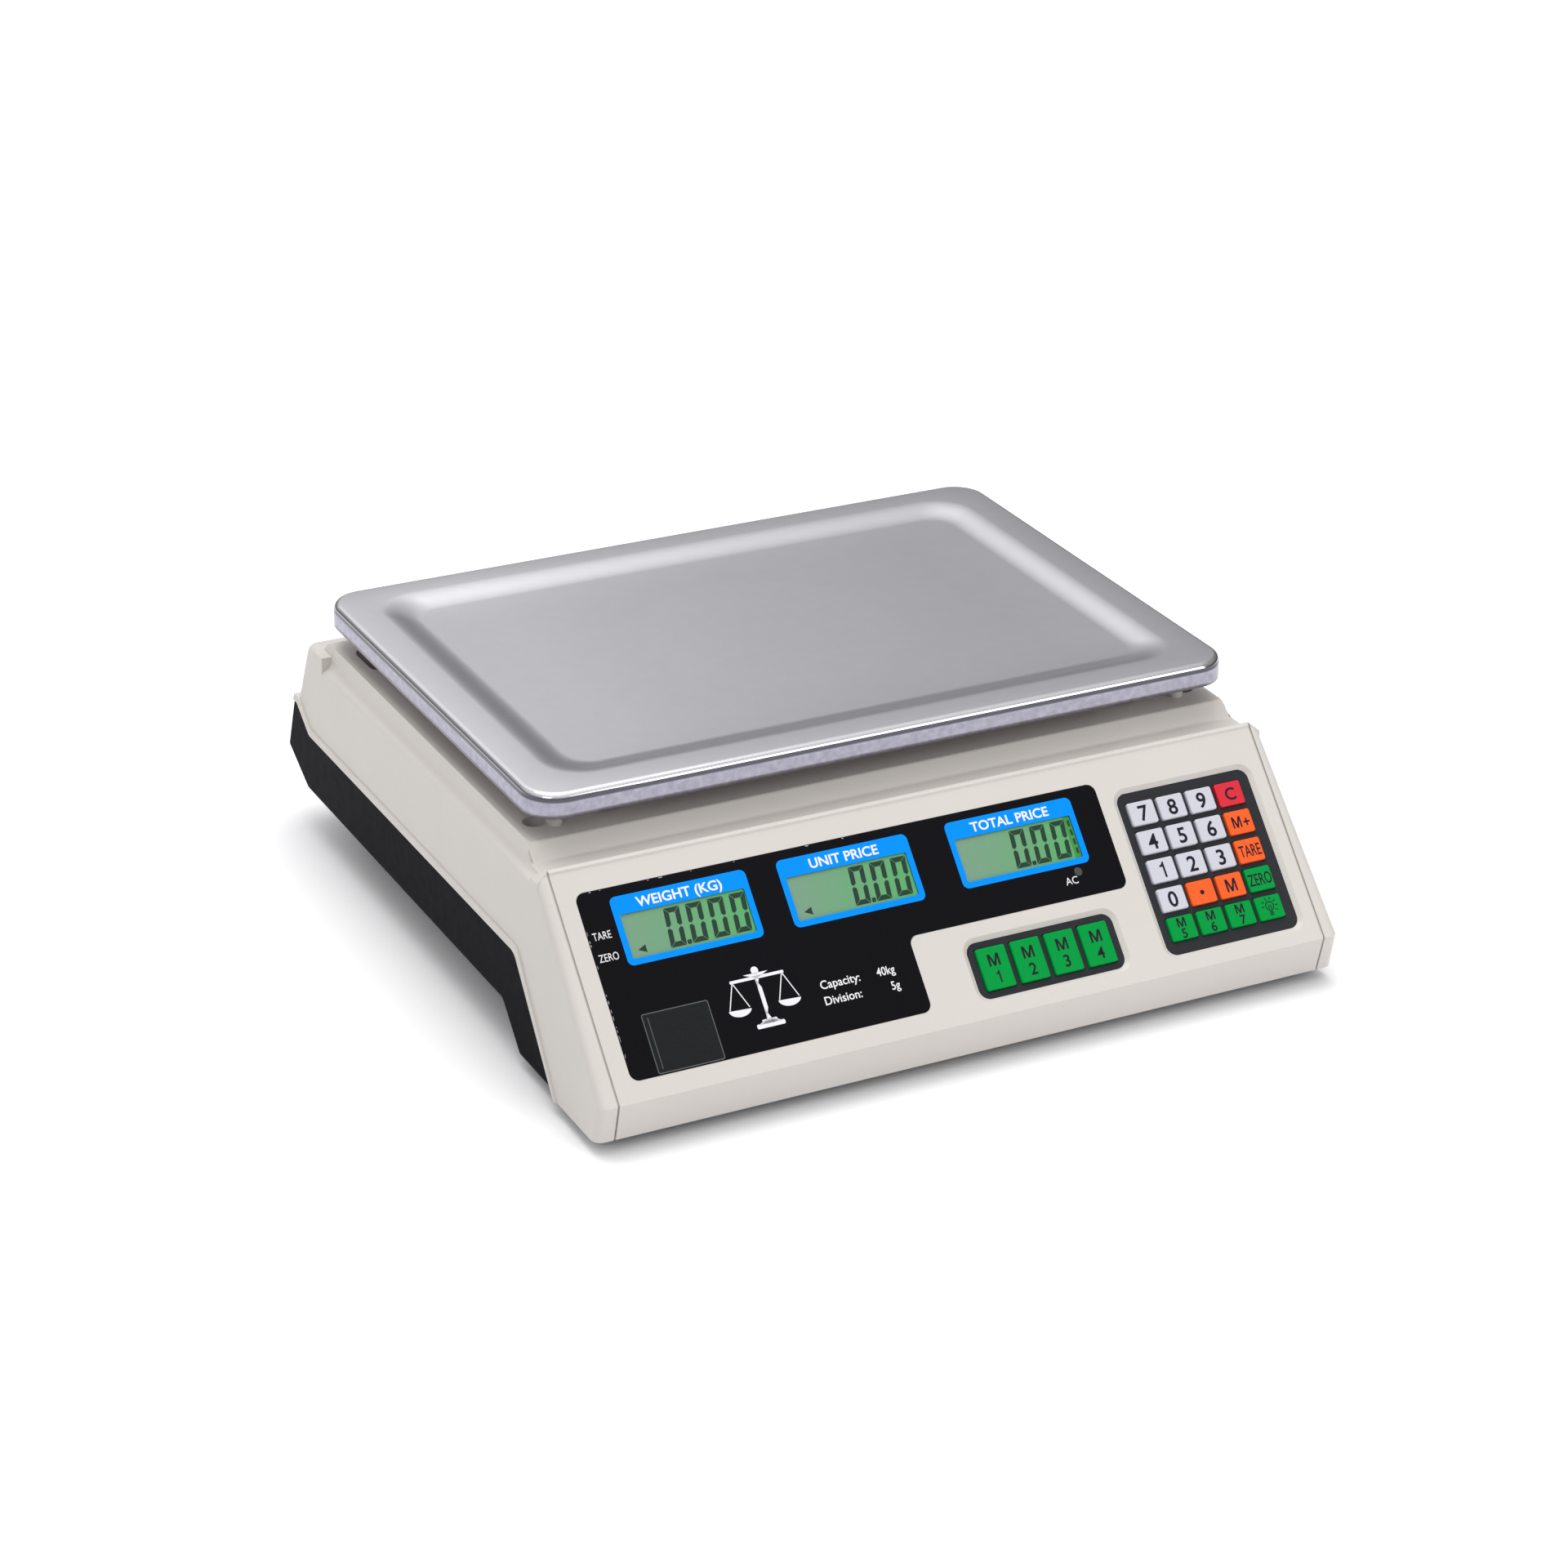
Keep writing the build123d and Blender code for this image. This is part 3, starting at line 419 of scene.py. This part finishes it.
def rounded_ring(width, height, radius, x=0.0, y=0.0, steps=8):
    """The points of a rounded rectangle about (x, y)."""
    points = []
    for corner, (sx, sy) in enumerate(((1, 1), (-1, 1), (-1, -1), (1, -1))):
        for step in range(steps + 1):
            angle = (corner + step / steps) * math.pi / 2
            points.append((
                x + sx * (width / 2 - radius) + radius * math.cos(angle),
                y + sy * (height / 2 - radius) + radius * math.sin(angle),
            ))
    return points


def joined(parts):
    """One mesh from several, each with its place."""
    made = bmesh.new()
    for mesh, place in parts:
        mesh.transform(place)
        made.from_mesh(mesh)
        bpy.data.meshes.remove(mesh)
    mesh = bpy.data.meshes.new("joined")
    made.to_mesh(mesh)
    made.free()
    return mesh


def drawn_glyph(character, height, squeeze):
    """One of the drawn glyphs, centred."""
    outline = GLYPHS[character]
    middle = max(x for x, y in outline) / 2
    return polygon_mesh([((x - middle) * height * squeeze, (y - 0.5) * height) for x, y in outline])


def lettering(name, face, lines, material, body):
    """Printed text on a sloping face: (text, u, v, w, height, weight, squeeze) each."""
    parts = []
    for text, u, v, w, height, weight, squeeze in lines:
        if text in GLYPHS:
            letters = drawn_glyph(text, height, squeeze)
        else:
            letters = letter_mesh(text, height, weight, squeeze)
        parts.append((letters, face.at(u, v, w + PRINT_LIFT)))
    return add_piece(name, joined(parts), material, body)


# ---------------------------------------------------------------- displays

DIGIT_WIDTH = 7.2 * MM
DIGIT_PITCH = 10.1 * MM
DIGIT_STROKE = 2.15 * MM
DIGIT_SLANT = 0.09
DIGIT_GAP = 0.07 * DIGIT_STROKE
POINT_SIDE = 1.9 * MM


def zero_shapes(height):
    """The six bars of a seven-segment zero as outlines about its middle."""
    a, b, half = DIGIT_WIDTH / 2, height / 2, DIGIT_STROKE / 2

    def flat(side):
        end, y = a - DIGIT_GAP, side * (b - half)
        return [(-end, y + side * half), (end, y + side * half),
                (end - DIGIT_STROKE, y - side * half), (DIGIT_STROKE - end, y - side * half)]

    def upright(side, top):
        outer, low, high = side * a, 1.6 * DIGIT_GAP, b - DIGIT_GAP
        inner = outer - side * DIGIT_STROKE
        points = [(outer, low + 0.6 * half), (outer, high), (inner, high - DIGIT_STROKE),
                  (inner, low + half), (inner + side * half, low)]
        return [(x, top * y) for x, y in points]

    return (flat(1), upright(1, 1), upright(1, -1), flat(-1), upright(-1, -1), upright(-1, 1))


def digits_mesh(text, right_edge, height):
    """Slanted zeros with their decimal point, the last one ending at right_edge."""
    parts = []
    slant = Matrix.Identity(4)
    slant[0][1] = DIGIT_SLANT
    x = right_edge - DIGIT_WIDTH / 2
    for character in reversed(text):
        if character == ".":
            dot = rounded_ring(POINT_SIDE, POINT_SIDE, 0.4 * MM, steps=3)
            spot = (x + DIGIT_PITCH / 2, (POINT_SIDE - height) / 2, 0)
            parts.append((polygon_mesh(dot), slant @ Matrix.Translation(spot)))
            continue
        for outline in zero_shapes(height):
            parts.append((polygon_mesh(outline), Matrix.Translation((x, 0, 0)) @ slant))
        x -= DIGIT_PITCH
    return joined(parts)


# A display's blue frame: its margin and its title's height as shares of the title strip.
FRAME_MARGIN = 0.34
TITLE_HEIGHT = 0.54
TITLE_WEIGHT = 0.028
TITLE_SQUEEZE = 1.06
WINDOW_CORNER = 0.8 * MM
DIGIT_CLEARANCE = 1.2 * MM

# The arrow mark: its outline, and its place from the window's left and lower edge.
ARROW = [(-1.9 * MM, 0), (1.8 * MM, -1.7 * MM), (1.8 * MM, 1.7 * MM)]
ARROW_PLACE = (5.4 * MM, 3.4 * MM)

# The green band at the window's right edge and the dashes on it.
BAND_WIDTH = 3.2 * MM
DASHES = 4
DASH_SIZE = (1.1 * MM, 2.8 * MM)
DASH_PITCH = 4.2 * MM
DASH_INSET = 1.3 * MM


def dress_display(name, face, place, window, text, title, inset, strip, marker=False, band=False):
    """The blue frame with its title, the digits and the small marks of one display."""
    u, v, glass = place
    width, height = window
    margin = FRAME_MARGIN * strip
    outer = rounded_ring(
        width + 2 * margin, height + strip + margin, margin, 0, (strip - margin) / 2
    )
    hole = rounded_ring(width, height, WINDOW_CORNER)
    add_piece(
        f"{name}_frame", joined([(polygon_mesh(outer, [hole]), face.at(u, v, PRINT_LIFT))]),
        materials["blue_print"], "housing",
    )
    title_v = v - height / 2 - strip / 2
    title_line = (
        title, u, title_v, 2 * PRINT_THICKNESS, TITLE_HEIGHT * strip, TITLE_WEIGHT, TITLE_SQUEEZE
    )
    lettering(f"{name}_title", face, [title_line], materials["white_print"], "housing")
    level = glass + PRINT_LIFT
    digits = digits_mesh(text, width / 2 - inset, height - 2 * DIGIT_CLEARANCE)
    ink = [(digits, face.at(u, v, level))]
    if marker:
        left, low = u - width / 2, v + height / 2
        spot = face.at(left + ARROW_PLACE[0], low - ARROW_PLACE[1], level)
        ink.append((polygon_mesh(ARROW), spot))
    if band:
        right = u + width / 2
        for step in range(DASHES):
            dash = rounded_ring(*DASH_SIZE, 0.3 * MM)
            shift = (step - (DASHES - 1) / 2) * DASH_PITCH
            ink.append((polygon_mesh(dash), face.at(right - DASH_INSET, v + shift, level)))
        band_mesh = polygon_mesh(rounded_ring(BAND_WIDTH, height, 0.5 * MM))
        add_piece(
            f"{name}_band", joined([(band_mesh, face.at(right - BAND_WIDTH / 2, v, glass))]),
            materials["lcd_band"], "housing",
        )
    add_piece(f"{name}_digits", joined(ink), materials["lcd_ink"], "housing")


# ---------------------------------------------------------------- platter

def rounded_loop(half_x, half_y, radius, z, arc=10, side=8):
    """A level loop of points round a rounded rectangle, evenly numbered."""
    points = []
    corners = ((1, 1), (-1, 1), (-1, -1), (1, -1))
    for corner, (sx, sy) in enumerate(corners):
        for step in range(arc + 1):
            angle = (corner + step / arc) * math.pi / 2
            points.append(Vector((
                sx * (half_x - radius) + radius * math.cos(angle),
                sy * (half_y - radius) + radius * math.sin(angle),
                z,
            )))
        nx, ny = corners[(corner + 1) % 4]
        start = points[-1]
        angle = (corner + 1) * math.pi / 2
        end = Vector((
            nx * (half_x - radius) + radius * math.cos(angle),
            ny * (half_y - radius) + radius * math.sin(angle),
            z,
        ))
        for step in range(1, side):
            points.append(start.lerp(end, step / side))
    return points


def band_of_faces(made, a, b):
    """Faces between two closed rings of vertices."""
    for i in range(len(a)):
        j = (i + 1) % len(a)
        made.faces.new((a[i], a[j], b[j], b[i]))


def bridge(made, rings):
    """Faces between rings of equal length, one after another."""
    rows = [[made.verts.new(p) for p in ring] for ring in rings]
    for a, b in zip(rows, rows[1:]):
        band_of_faces(made, a, b)
    return rows


def smooth_step(t):
    return t * t * (3 - 2 * t)


PAN_CORNER = 16.0 * MM
PAN_EDGE = 3.0 * MM
PAN_SHEET = 1.0 * MM

# The dish by its half widths, its corner radius at the mouth and on the floor, and its depth.
DISH_MOUTH = (154.0 * MM, 107.0 * MM)
DISH_FLOOR = (138.0 * MM, 90.0 * MM)
DISH_CORNER = (20.0 * MM, 12.0 * MM)
DISH_DEPTH = 3.0 * MM

# How many rings of points each stretch of the pan's section has.
SKIRT_RINGS = 4
EDGE_RINGS = 12
WALL_RINGS = 18
FLOOR_RINGS = 4


def pan_skin(low, high, inset):
    """The rings of one side of the sheet, from its lower edge to the floor of the dish."""
    hx, hy = (high.x - low.x) / 2 - inset, (high.y - low.y) / 2 - inset
    top = high.z - inset
    bend = PAN_EDGE - inset
    shoulder = top - bend
    rings = []
    for step in range(SKIRT_RINGS):
        level = low.z + (shoulder - low.z) * step / SKIRT_RINGS
        rings.append(rounded_loop(hx, hy, PAN_CORNER - inset, level))
    for step in range(EDGE_RINGS + 1):
        angle = step / EDGE_RINGS * math.pi / 2
        away = bend * (1 - math.cos(angle))
        level = shoulder + bend * math.sin(angle)
        rings.append(rounded_loop(hx - away, hy - away, PAN_CORNER - inset - away, level))
    for step in range(WALL_RINGS + 1):
        t = step / WALL_RINGS
        x, y = (a + (b - a) * t for a, b in zip(DISH_MOUTH, DISH_FLOOR))
        corner = DISH_CORNER[0] + (DISH_CORNER[1] - DISH_CORNER[0]) * t
        rings.append(rounded_loop(x, y, corner, top - DISH_DEPTH * smooth_step(t)))
    return rings


def fill_floor(made, ring):
    """The level floor inside a ring, as shrinking rings and a last face."""
    for step in range(FLOOR_RINGS - 1, 0, -1):
        share = step / (step + 1)
        smaller = [made.verts.new((v.co.x * share, v.co.y * share, v.co.z)) for v in ring]
        band_of_faces(made, ring, smaller)
        ring = smaller
    made.faces.new(ring)


def make_platter():
    """The pressed steel pan: rolled edge, flat rim and a dish with soft walls."""
    low, high = (Vector(corner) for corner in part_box("platter"))
    made = bmesh.new()
    outer = bridge(made, pan_skin(low, high, 0.0))
    inner = bridge(made, pan_skin(low, high, PAN_SHEET))
    band_of_faces(made, inner[0], outer[0])
    for rows in (outer, inner):
        fill_floor(made, rows[-1])
    middle = (low + high) / 2
    bmesh.ops.translate(made, verts=made.verts, vec=(middle.x, middle.y, 0))
    bmesh.ops.recalc_face_normals(made, faces=made.faces)
    mesh = bpy.data.meshes.new("platter_pan")
    made.to_mesh(mesh)
    made.free()
    for polygon in mesh.polygons:
        polygon.use_smooth = True
    pan = add_piece("platter_pan", mesh, materials["platter_steel"], "platter")
    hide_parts("platter")


# ---------------------------------------------------------------- materials by node

LCDS = ("front_lcd_weight", "front_lcd_unit_price", "front_lcd_total_price", "rear_lcds")


def lcd_glass(node):
    """A reflective LCD, greener towards its right-hand end."""
    low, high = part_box(node)
    shade = Shader(node, (0.18, 0.36, 0.2), 0.16, Specular_IOR_Level=LOW)
    across = shade.node("ShaderNodeSeparateXYZ", {"Vector": shade.place()}).outputs["X"]
    wave = shade.maths("MULTIPLY", shade.noise(30.0), 0.3)
    along = shade.maths("ADD", shade.span(across, -0.15, 0.85, low[0], high[0]), wave)
    shade.drive("Base Color", shade.blend(along, (0.17, 0.29, 0.20), (0.085, 0.35, 0.115)))
    return shade.material


def make_materials():
    made = {
        "housing": moulded_plastic("housing_plastic", (0.58, 0.548, 0.512), 0.42),
        "base": moulded_plastic("base_plastic", (0.004, 0.0038, 0.006), 0.5, 0.1, 0.06, FLAT),
        "film": moulded_plastic("overlay_film", (0.004, 0.004, 0.0055), 0.25, 0.02, 0.2, DULL),
        "plate": moulded_plastic("keypad_plastic", (0.026, 0.027, 0.031), 0.45, 0.08, 0.1, DULL),
        "board": moulded_plastic("circuit_board", (0.02, 0.14, 0.05), 0.35, 0.05, 0.15),
        "black": moulded_plastic("black_fitting", (0.012, 0.012, 0.013), 0.4, 0.1, 0.05, LOW),
        "support": moulded_plastic("support_plastic", (0.55, 0.52, 0.49), 0.45),
        "rubber": moulded_plastic("pad_rubber", (0.03, 0.03, 0.03), 0.7),
        "foot": moulded_plastic("foot_plastic", (0.02, 0.02, 0.021), 0.5, 0.1, 0.05, LOW),
        "battery": moulded_plastic("battery_case", (0.03, 0.03, 0.034), 0.5),
        "key_white": moulded_plastic("key_white", (0.53, 0.53, 0.59), 0.36, 0.04),
        "key_red": moulded_plastic("key_red", (0.60, 0.016, 0.033), 0.36, 0.04, 0.03, LOW),
        "key_orange": moulded_plastic("key_orange", (0.86, 0.10, 0.010), 0.36, 0.04, 0.03, LOW),
        "key_green": moulded_plastic("key_green", (0.0, 0.275, 0.045), 0.34, 0.04, 0.03, DULL),
        "blue_print": moulded_plastic("blue_print", (0.0, 0.245, 0.90), 0.32, 0.01, 0.03, DULL),
        "white_print": moulded_plastic("white_print", (0.74, 0.74, 0.76), 0.4, 0.01),
        "black_print": moulded_plastic("black_print", (0.015, 0.014, 0.022), 0.4, 0.01, 0.1, DULL),
        "lcd_ink": moulded_plastic("lcd_ink", (0.008, 0.034, 0.020), 0.4, 0.01, 0.1, LOW),
        "lcd_band": moulded_plastic("lcd_band", (0.04, 0.24, 0.05), 0.3, 0.01, 0.25, LOW),
        "worn": moulded_plastic("worn_edge", (0.35, 0.35, 0.34), 0.6, 0.05, 0.3),
        # Painted highlight lines along the clear window's edges, grey on the black film.
        "window_edge_highlight": moulded_plastic("window_edge_highlight", (0.10, 0.105, 0.11), 0.3, 0.05, 0.3, LOW),
        "platter_steel": platter_steel(),
    }
    steel = Shader("fastener_steel", (0.6, 0.6, 0.62), 0.3, 1.0)
    steel.drive("Roughness", steel.span(steel.noise(400.0), 0.22, 0.42))
    made["steel"] = steel.material
    cell = Shader("cell_aluminium", (0.74, 0.75, 0.77), 0.35, 1.0)
    cell.drive("Roughness", cell.span(cell.noise(90.0, 4, (1, 12, 12)), 0.25, 0.45))
    made["cell"] = cell.material
    core = Shader("transformer_steel", (0.16, 0.15, 0.15), 0.45, 0.6)
    core.bump(core.noise(300.0, 2, (0.1, 0.1, 6)), 0.3, 0.0002)
    made["core"] = core.material
    for name in LCDS:
        made[name] = lcd_glass(name)
    clear = Shader("vial_acrylic", (0.85, 0.9, 0.9), 0.06, Transmission_Weight=1.0, IOR=1.49)
    clear.drive("Roughness", clear.span(clear.noise(60.0), 0.02, 0.1))
    made["clear"] = clear.material
    smoked = Shader(
        "window_smoke", (0.035, 0.037, 0.04), 0.12, Transmission_Weight=0.55, IOR=1.15,
        Specular_IOR_Level=DULL,
    )
    smoked.drive("Roughness", smoked.span(smoked.noise(90.0), 0.08, 0.2))
    made["window"] = smoked.material
    lens = Shader("led_lens", (0.055, 0.055, 0.06), 0.25, Specular_IOR_Level=LOW)
    lens.drive("Roughness", lens.span(lens.noise(500.0), 0.15, 0.35))
    made["lens"] = lens.material
    return made


KEY_COLOURS = {"key_c": "key_red"}
KEY_COLOURS.update({f"key_{n}": "key_white" for n in range(10)})
KEY_COLOURS.update({n: "key_orange" for n in ("key_m_plus", "key_tare", "key_point", "key_m")})

FINISHES = {
    "upper_housing": "housing", "lower_base": "base", "battery_cover": "base",
    "front_overlay": "film", "rear_overlay": "film", "keypad_plate": "plate",
    "memory_keypad_plate": "plate", "keypad_board": "board", "memory_keypad_board": "board",
    "front_display_board": "board", "rear_display_board": "board", "main_board": "board",
    "load_cell": "cell", "load_cell_base_bolts": "steel", "housing_screws": "steel",
    "tapping_screws": "steel", "pan_support_bolts": "steel", "battery": "battery",
    "transformer": "core", "level_vial": "clear", "level_window": "window",
    "power_inlet": "black", "power_switch_frame": "black", "power_switch_rocker": "black",
    "ac_led": "lens", "pan_support": "support", "pan_support_pads": "rubber",
    "platter": "platter_steel",
}


def finish_of(node):
    if node in FINISHES:
        return FINISHES[node]
    if node.startswith("key_"):
        return KEY_COLOURS.get(node, "key_green")
    if node.startswith("foot_"):
        return "foot"
    return node


def dress_nodes():
    for name, node in nodes.items():
        node.data.materials.clear()
        node.data.materials.append(materials[finish_of(name)])


# Each legend mark: text, place across and down the key, height, stroke weight, width factor.
LEGENDS = {f"key_{n}": [(str(n), 0, 0, 7.2, 0.022, 0.98)] for n in range(10)}
LEGENDS.update({
    "key_c": [("C", 0, 0, 5.8, 0.02, 1.0)],
    "key_m_plus": [("M", -1.7, 0, 5.2, 0, 0.95), ("+", 3.2, 0.4, 5.2, 0.02, 0.9)],
    "key_tare": [("TARE", 0, 0, 5.6, 0.012, 0.6)],
    "key_zero": [("ZERO", 0, 0, 5.6, 0.012, 0.6)],
    "key_m": [("M", 0, 0, 5.8, 0, 1.0)],
    "key_point": [("•", 0, 0, 5.5, 0.02, 1.0)],
})
LEGENDS.update({
    f"key_m{n}": [("M", 0, -2.4, 4.2, 0, 1.1), (str(n), 0, 2.5, 4.4, 0.02, 1.0)]
    for n in (5, 6, 7)
})
LEGENDS.update({
    f"key_m{n}": [("M", 0, -3.4, 5.4, 0, 1.1), (str(n), 0, 4.1, 5.4, 0.02, 1.0)]
    for n in (1, 2, 3, 4)
})


def bar(length, width, x=0.0, y=0.0, turn=0.0):
    """A thin straight stroke, turned about its middle."""
    return (
        polygon_mesh(rounded_ring(length, width, 0.3 * width, steps=2)),
        Matrix.Translation((x, y, 0)) @ Matrix.Rotation(turn, 4, "Z"),
    )


def disc(radius, squash=1.0, steps=28, start=0.0, end=2 * math.pi):
    """The points round a circle, an ellipse or a part of one."""
    angles = [start + (end - start) * i / steps for i in range(steps)]
    return [(radius * math.cos(a), radius * squash * math.sin(a)) for a in angles]


# The light key's picture: a bulb with its neck, its screw cap and rays.
BULB_RADIUS = 2.2 * MM
BULB_HEIGHT = 0.5 * MM
BULB_STROKE = 0.45 * MM
RAY_REACH = 3.5 * MM
RAY_LENGTH = 1.3 * MM
RAYS = 7
CAP_LENGTH = 1.9 * MM
CAP_ROWS = (-2.2 * MM, -2.9 * MM, -3.6 * MM)


def lamp_icon():
    """A light bulb with rays, about its middle."""
    outer, inner = disc(BULB_RADIUS), disc(BULB_RADIUS - BULB_STROKE)
    parts = [(polygon_mesh(outer, [inner]), Matrix.Translation((0, BULB_HEIGHT, 0)))]
    parts += [bar(CAP_LENGTH, BULB_STROKE, 0, y) for y in CAP_ROWS]
    parts += [bar(BULB_STROKE, CAP_LENGTH, x * MM, 0.1 * MM) for x in (-0.5, 0.5)]
    for step in range(RAYS):
        turn = (step - 1) * math.pi / 5
        x, y = RAY_REACH * math.cos(turn), BULB_HEIGHT + RAY_REACH * math.sin(turn)
        parts.append(bar(RAY_LENGTH, BULB_STROKE, x, y, turn))
    return joined(parts)


# The balance: length, width and height above its middle of each straight bar, then its two bowls.
BALANCE_BARS = (
    (1.8 * MM, 22.0 * MM, -0.5 * MM),
    (13.0 * MM, 2.0 * MM, -12.2 * MM),
    (7.0 * MM, 2.0 * MM, -10.6 * MM),
    (25.0 * MM, 1.3 * MM, 8.6 * MM),
)
KNOB_RADIUS = 1.7 * MM
KNOB_HEIGHT = 11.6 * MM
BOWL_REACH = 11.5 * MM
BOWL_RADIUS = 5.2 * MM
BOWL_SQUASH = 0.62
BOWL_HEIGHT = -3.2 * MM
CORD_WIDTH = 0.45 * MM
CORD_LENGTH = 12.2 * MM
CORD_RISE = 11.4 * MM
CORD_SPREAD = 4.6 * MM
CORD_HEIGHT = 2.6 * MM


def balance_icon():
    """A two-pan balance, about its middle."""
    parts = [bar(length, width, 0, height) for length, width, height in BALANCE_BARS]
    parts.append((polygon_mesh(disc(KNOB_RADIUS)), Matrix.Translation((0, KNOB_HEIGHT, 0))))
    for side in (-1, 1):
        hang = side * BOWL_REACH
        bowl = disc(BOWL_RADIUS, BOWL_SQUASH, 20, math.pi, 2 * math.pi)
        parts.append((polygon_mesh(bowl), Matrix.Translation((hang, BOWL_HEIGHT, 0))))
        for lean in (-1, 1):
            angle = math.atan2(CORD_RISE, -lean * CORD_SPREAD)
            middle = hang + lean * CORD_SPREAD / 2
            parts.append(bar(CORD_LENGTH, CORD_WIDTH, middle, CORD_HEIGHT, angle))
    return joined(parts)


def dress_keys():
    for key, lines in LEGENDS.items():
        low, high = panel.box(key)
        u, v = (low.x + high.x) / 2, (low.y + high.y) / 2
        marks = [
            (text, u + across * MM, v + down * MM, high.z, height * MM, weight, squeeze)
            for text, across, down, height, weight, squeeze in lines
        ]
        lettering(f"{key}_legend", panel, marks, materials["black_print"], key)
    low, high = panel.box("key_light")
    middle = (low + high) / 2
    icon = joined([(lamp_icon(), panel.at(middle.x, middle.y, high.z + PRINT_LIFT))])
    add_piece("key_light_legend", icon, materials["black_print"], "key_light")


# Front displays: node, digits, title, gap in mm between the digits and the window's right edge,
# and whether it has the arrow mark and the green band.
FRONT_DISPLAYS = (
    ("front_lcd_weight", "0.000", "WEIGHT (KG)", 0.9, True, False),
    ("front_lcd_unit_price", "0.00", "UNIT PRICE", 1.4, True, False),
    ("front_lcd_total_price", "0.00", "TOTAL PRICE", 3.9, False, True),
)
REAR_TITLES = (("0.000", "WEIGHT (KG)"), ("0.00", "UNIT PRICE"), ("0.00", "TOTAL PRICE"))
FRONT_WINDOW = (57.1 * MM, 19.4 * MM)
REAR_WINDOW = (57.1 * MM, 15.6 * MM)
REAR_BODY_WIDTH = 61.4 * MM
REAR_INSET = 1.2 * MM
FRONT_STRIP = 8.1 * MM
REAR_STRIP = 6.6 * MM


def dress_panels():
    for node, text, title, inset, marker, band in FRONT_DISPLAYS:
        low, high = panel.box(node)
        place = ((low.x + high.x) / 2, (low.y + high.y) / 2, high.z)
        name = node.replace("_lcd", "")
        dress_display(
            name, panel, place, FRONT_WINDOW, text, title, inset * MM, FRONT_STRIP, marker, band
        )
    low, high = rear.box("rear_lcds")
    first, last = low.x + REAR_BODY_WIDTH / 2, high.x - REAR_BODY_WIDTH / 2
    for index, (text, title) in enumerate(REAR_TITLES):
        place = (first + (last - first) * index / 2, (low.y + high.y) / 2, high.z)
        dress_display(
            f"rear_display_{index + 1}", rear, place, REAR_WINDOW, text, title, REAR_INSET,
            REAR_STRIP,
        )


# Words on the film: text, u and v from the film's top edge, height in mm, weight, width factor.
FILM_WORDS = (
    ("TARE", -156.1, 19.3, 3.5, 0.0, 0.74),
    ("ZERO", -155.9, 28.8, 3.5, 0.0, 0.74),
    ("AC", 60.6, 40.3, 3.5, 0.0, 0.95),
    ("Capacity:", -59.6, 60.4, 3.8, 0.014, 0.98),
    ("40kg", -38.0, 60.4, 3.8, 0.014, 0.86),
    ("Division:", -60.4, 67.4, 3.8, 0.014, 0.98),
    ("5g", -35.6, 67.4, 3.8, 0.014, 0.86),
)


PICTOGRAM_PLACE = (-95.5 * MM, 59.5 * MM)

# Chips along the film's left and upper edge: how many, and their stretch of it in mm.
SIDE_CHIPS, SIDE_STRETCH = 18, (14, 72)
TOP_CHIPS, TOP_STRETCH = 8, (4, 130)
CHIP_INSET = 0.45 * MM


def dress_film():
    """The small words and the pictogram of the front film."""
    marks = [
        (text, u * MM, v * MM, 0.0, height * MM, weight, squeeze)
        for text, u, v, height, weight, squeeze in FILM_WORDS
    ]
    lettering("front_overlay_words", panel, marks, materials["white_print"], "housing")
    icon = joined([(balance_icon(), panel.at(*PICTOGRAM_PLACE, PRINT_LIFT))])
    add_piece("front_overlay_pictogram", icon, materials["white_print"], "housing")


def wear_film():
    """Small chips in the print along the film's edges."""
    chance = random.Random(7)
    low, high = panel.box("front_overlay")
    flecks = []
    for index in range(SIDE_CHIPS + TOP_CHIPS):
        length, width = chance.uniform(0.4, 2.0) * MM, chance.uniform(0.15, 0.4) * MM
        if index < SIDE_CHIPS:
            spot = (low.x + CHIP_INSET, chance.uniform(*SIDE_STRETCH) * MM)
            turn = math.pi / 2
        else:
            spot = (low.x + chance.uniform(*TOP_STRETCH) * MM, CHIP_INSET)
            turn = 0.0
        stroke, lean = bar(length, width, 0, 0, turn + chance.uniform(-0.2, 0.2))
        flecks.append((stroke, panel.at(*spot, PRINT_LIFT) @ lean))
    add_piece("front_overlay_wear", joined(flecks), materials["worn"], "housing")


def edge_window():
    """Painted highlights along the edges of the clear window over the spirit level, and a second
    painted highlight line inside its left edge.
    """
    low, high = panel.box("level_window")
    width, height = high.x - low.x, high.y - low.y
    outer = rounded_ring(width, height, 1.0 * MM)
    inner = rounded_ring(width - 0.8 * MM, height - 0.8 * MM, 0.6 * MM)
    middle = (low + high) / 2
    at = panel.at(middle.x, middle.y, high.z + PRINT_LIFT)
    second = panel.at(low.x + 2.6 * MM, middle.y, high.z + PRINT_LIFT)
    line = polygon_mesh(rounded_ring(0.3 * MM, 0.86 * height, 0.1 * MM))
    edges = [(polygon_mesh(outer, [inner]), at), (line, second)]
    add_piece("level_window_painted_highlights", joined(edges), materials["window_edge_highlight"], "housing")


# ---------------------------------------------------------------- the scene

make_camera()
make_studio()
materials = make_materials()
dress_nodes()
make_platter()
dress_panels()
dress_keys()
dress_film()
wear_film()
edge_window()
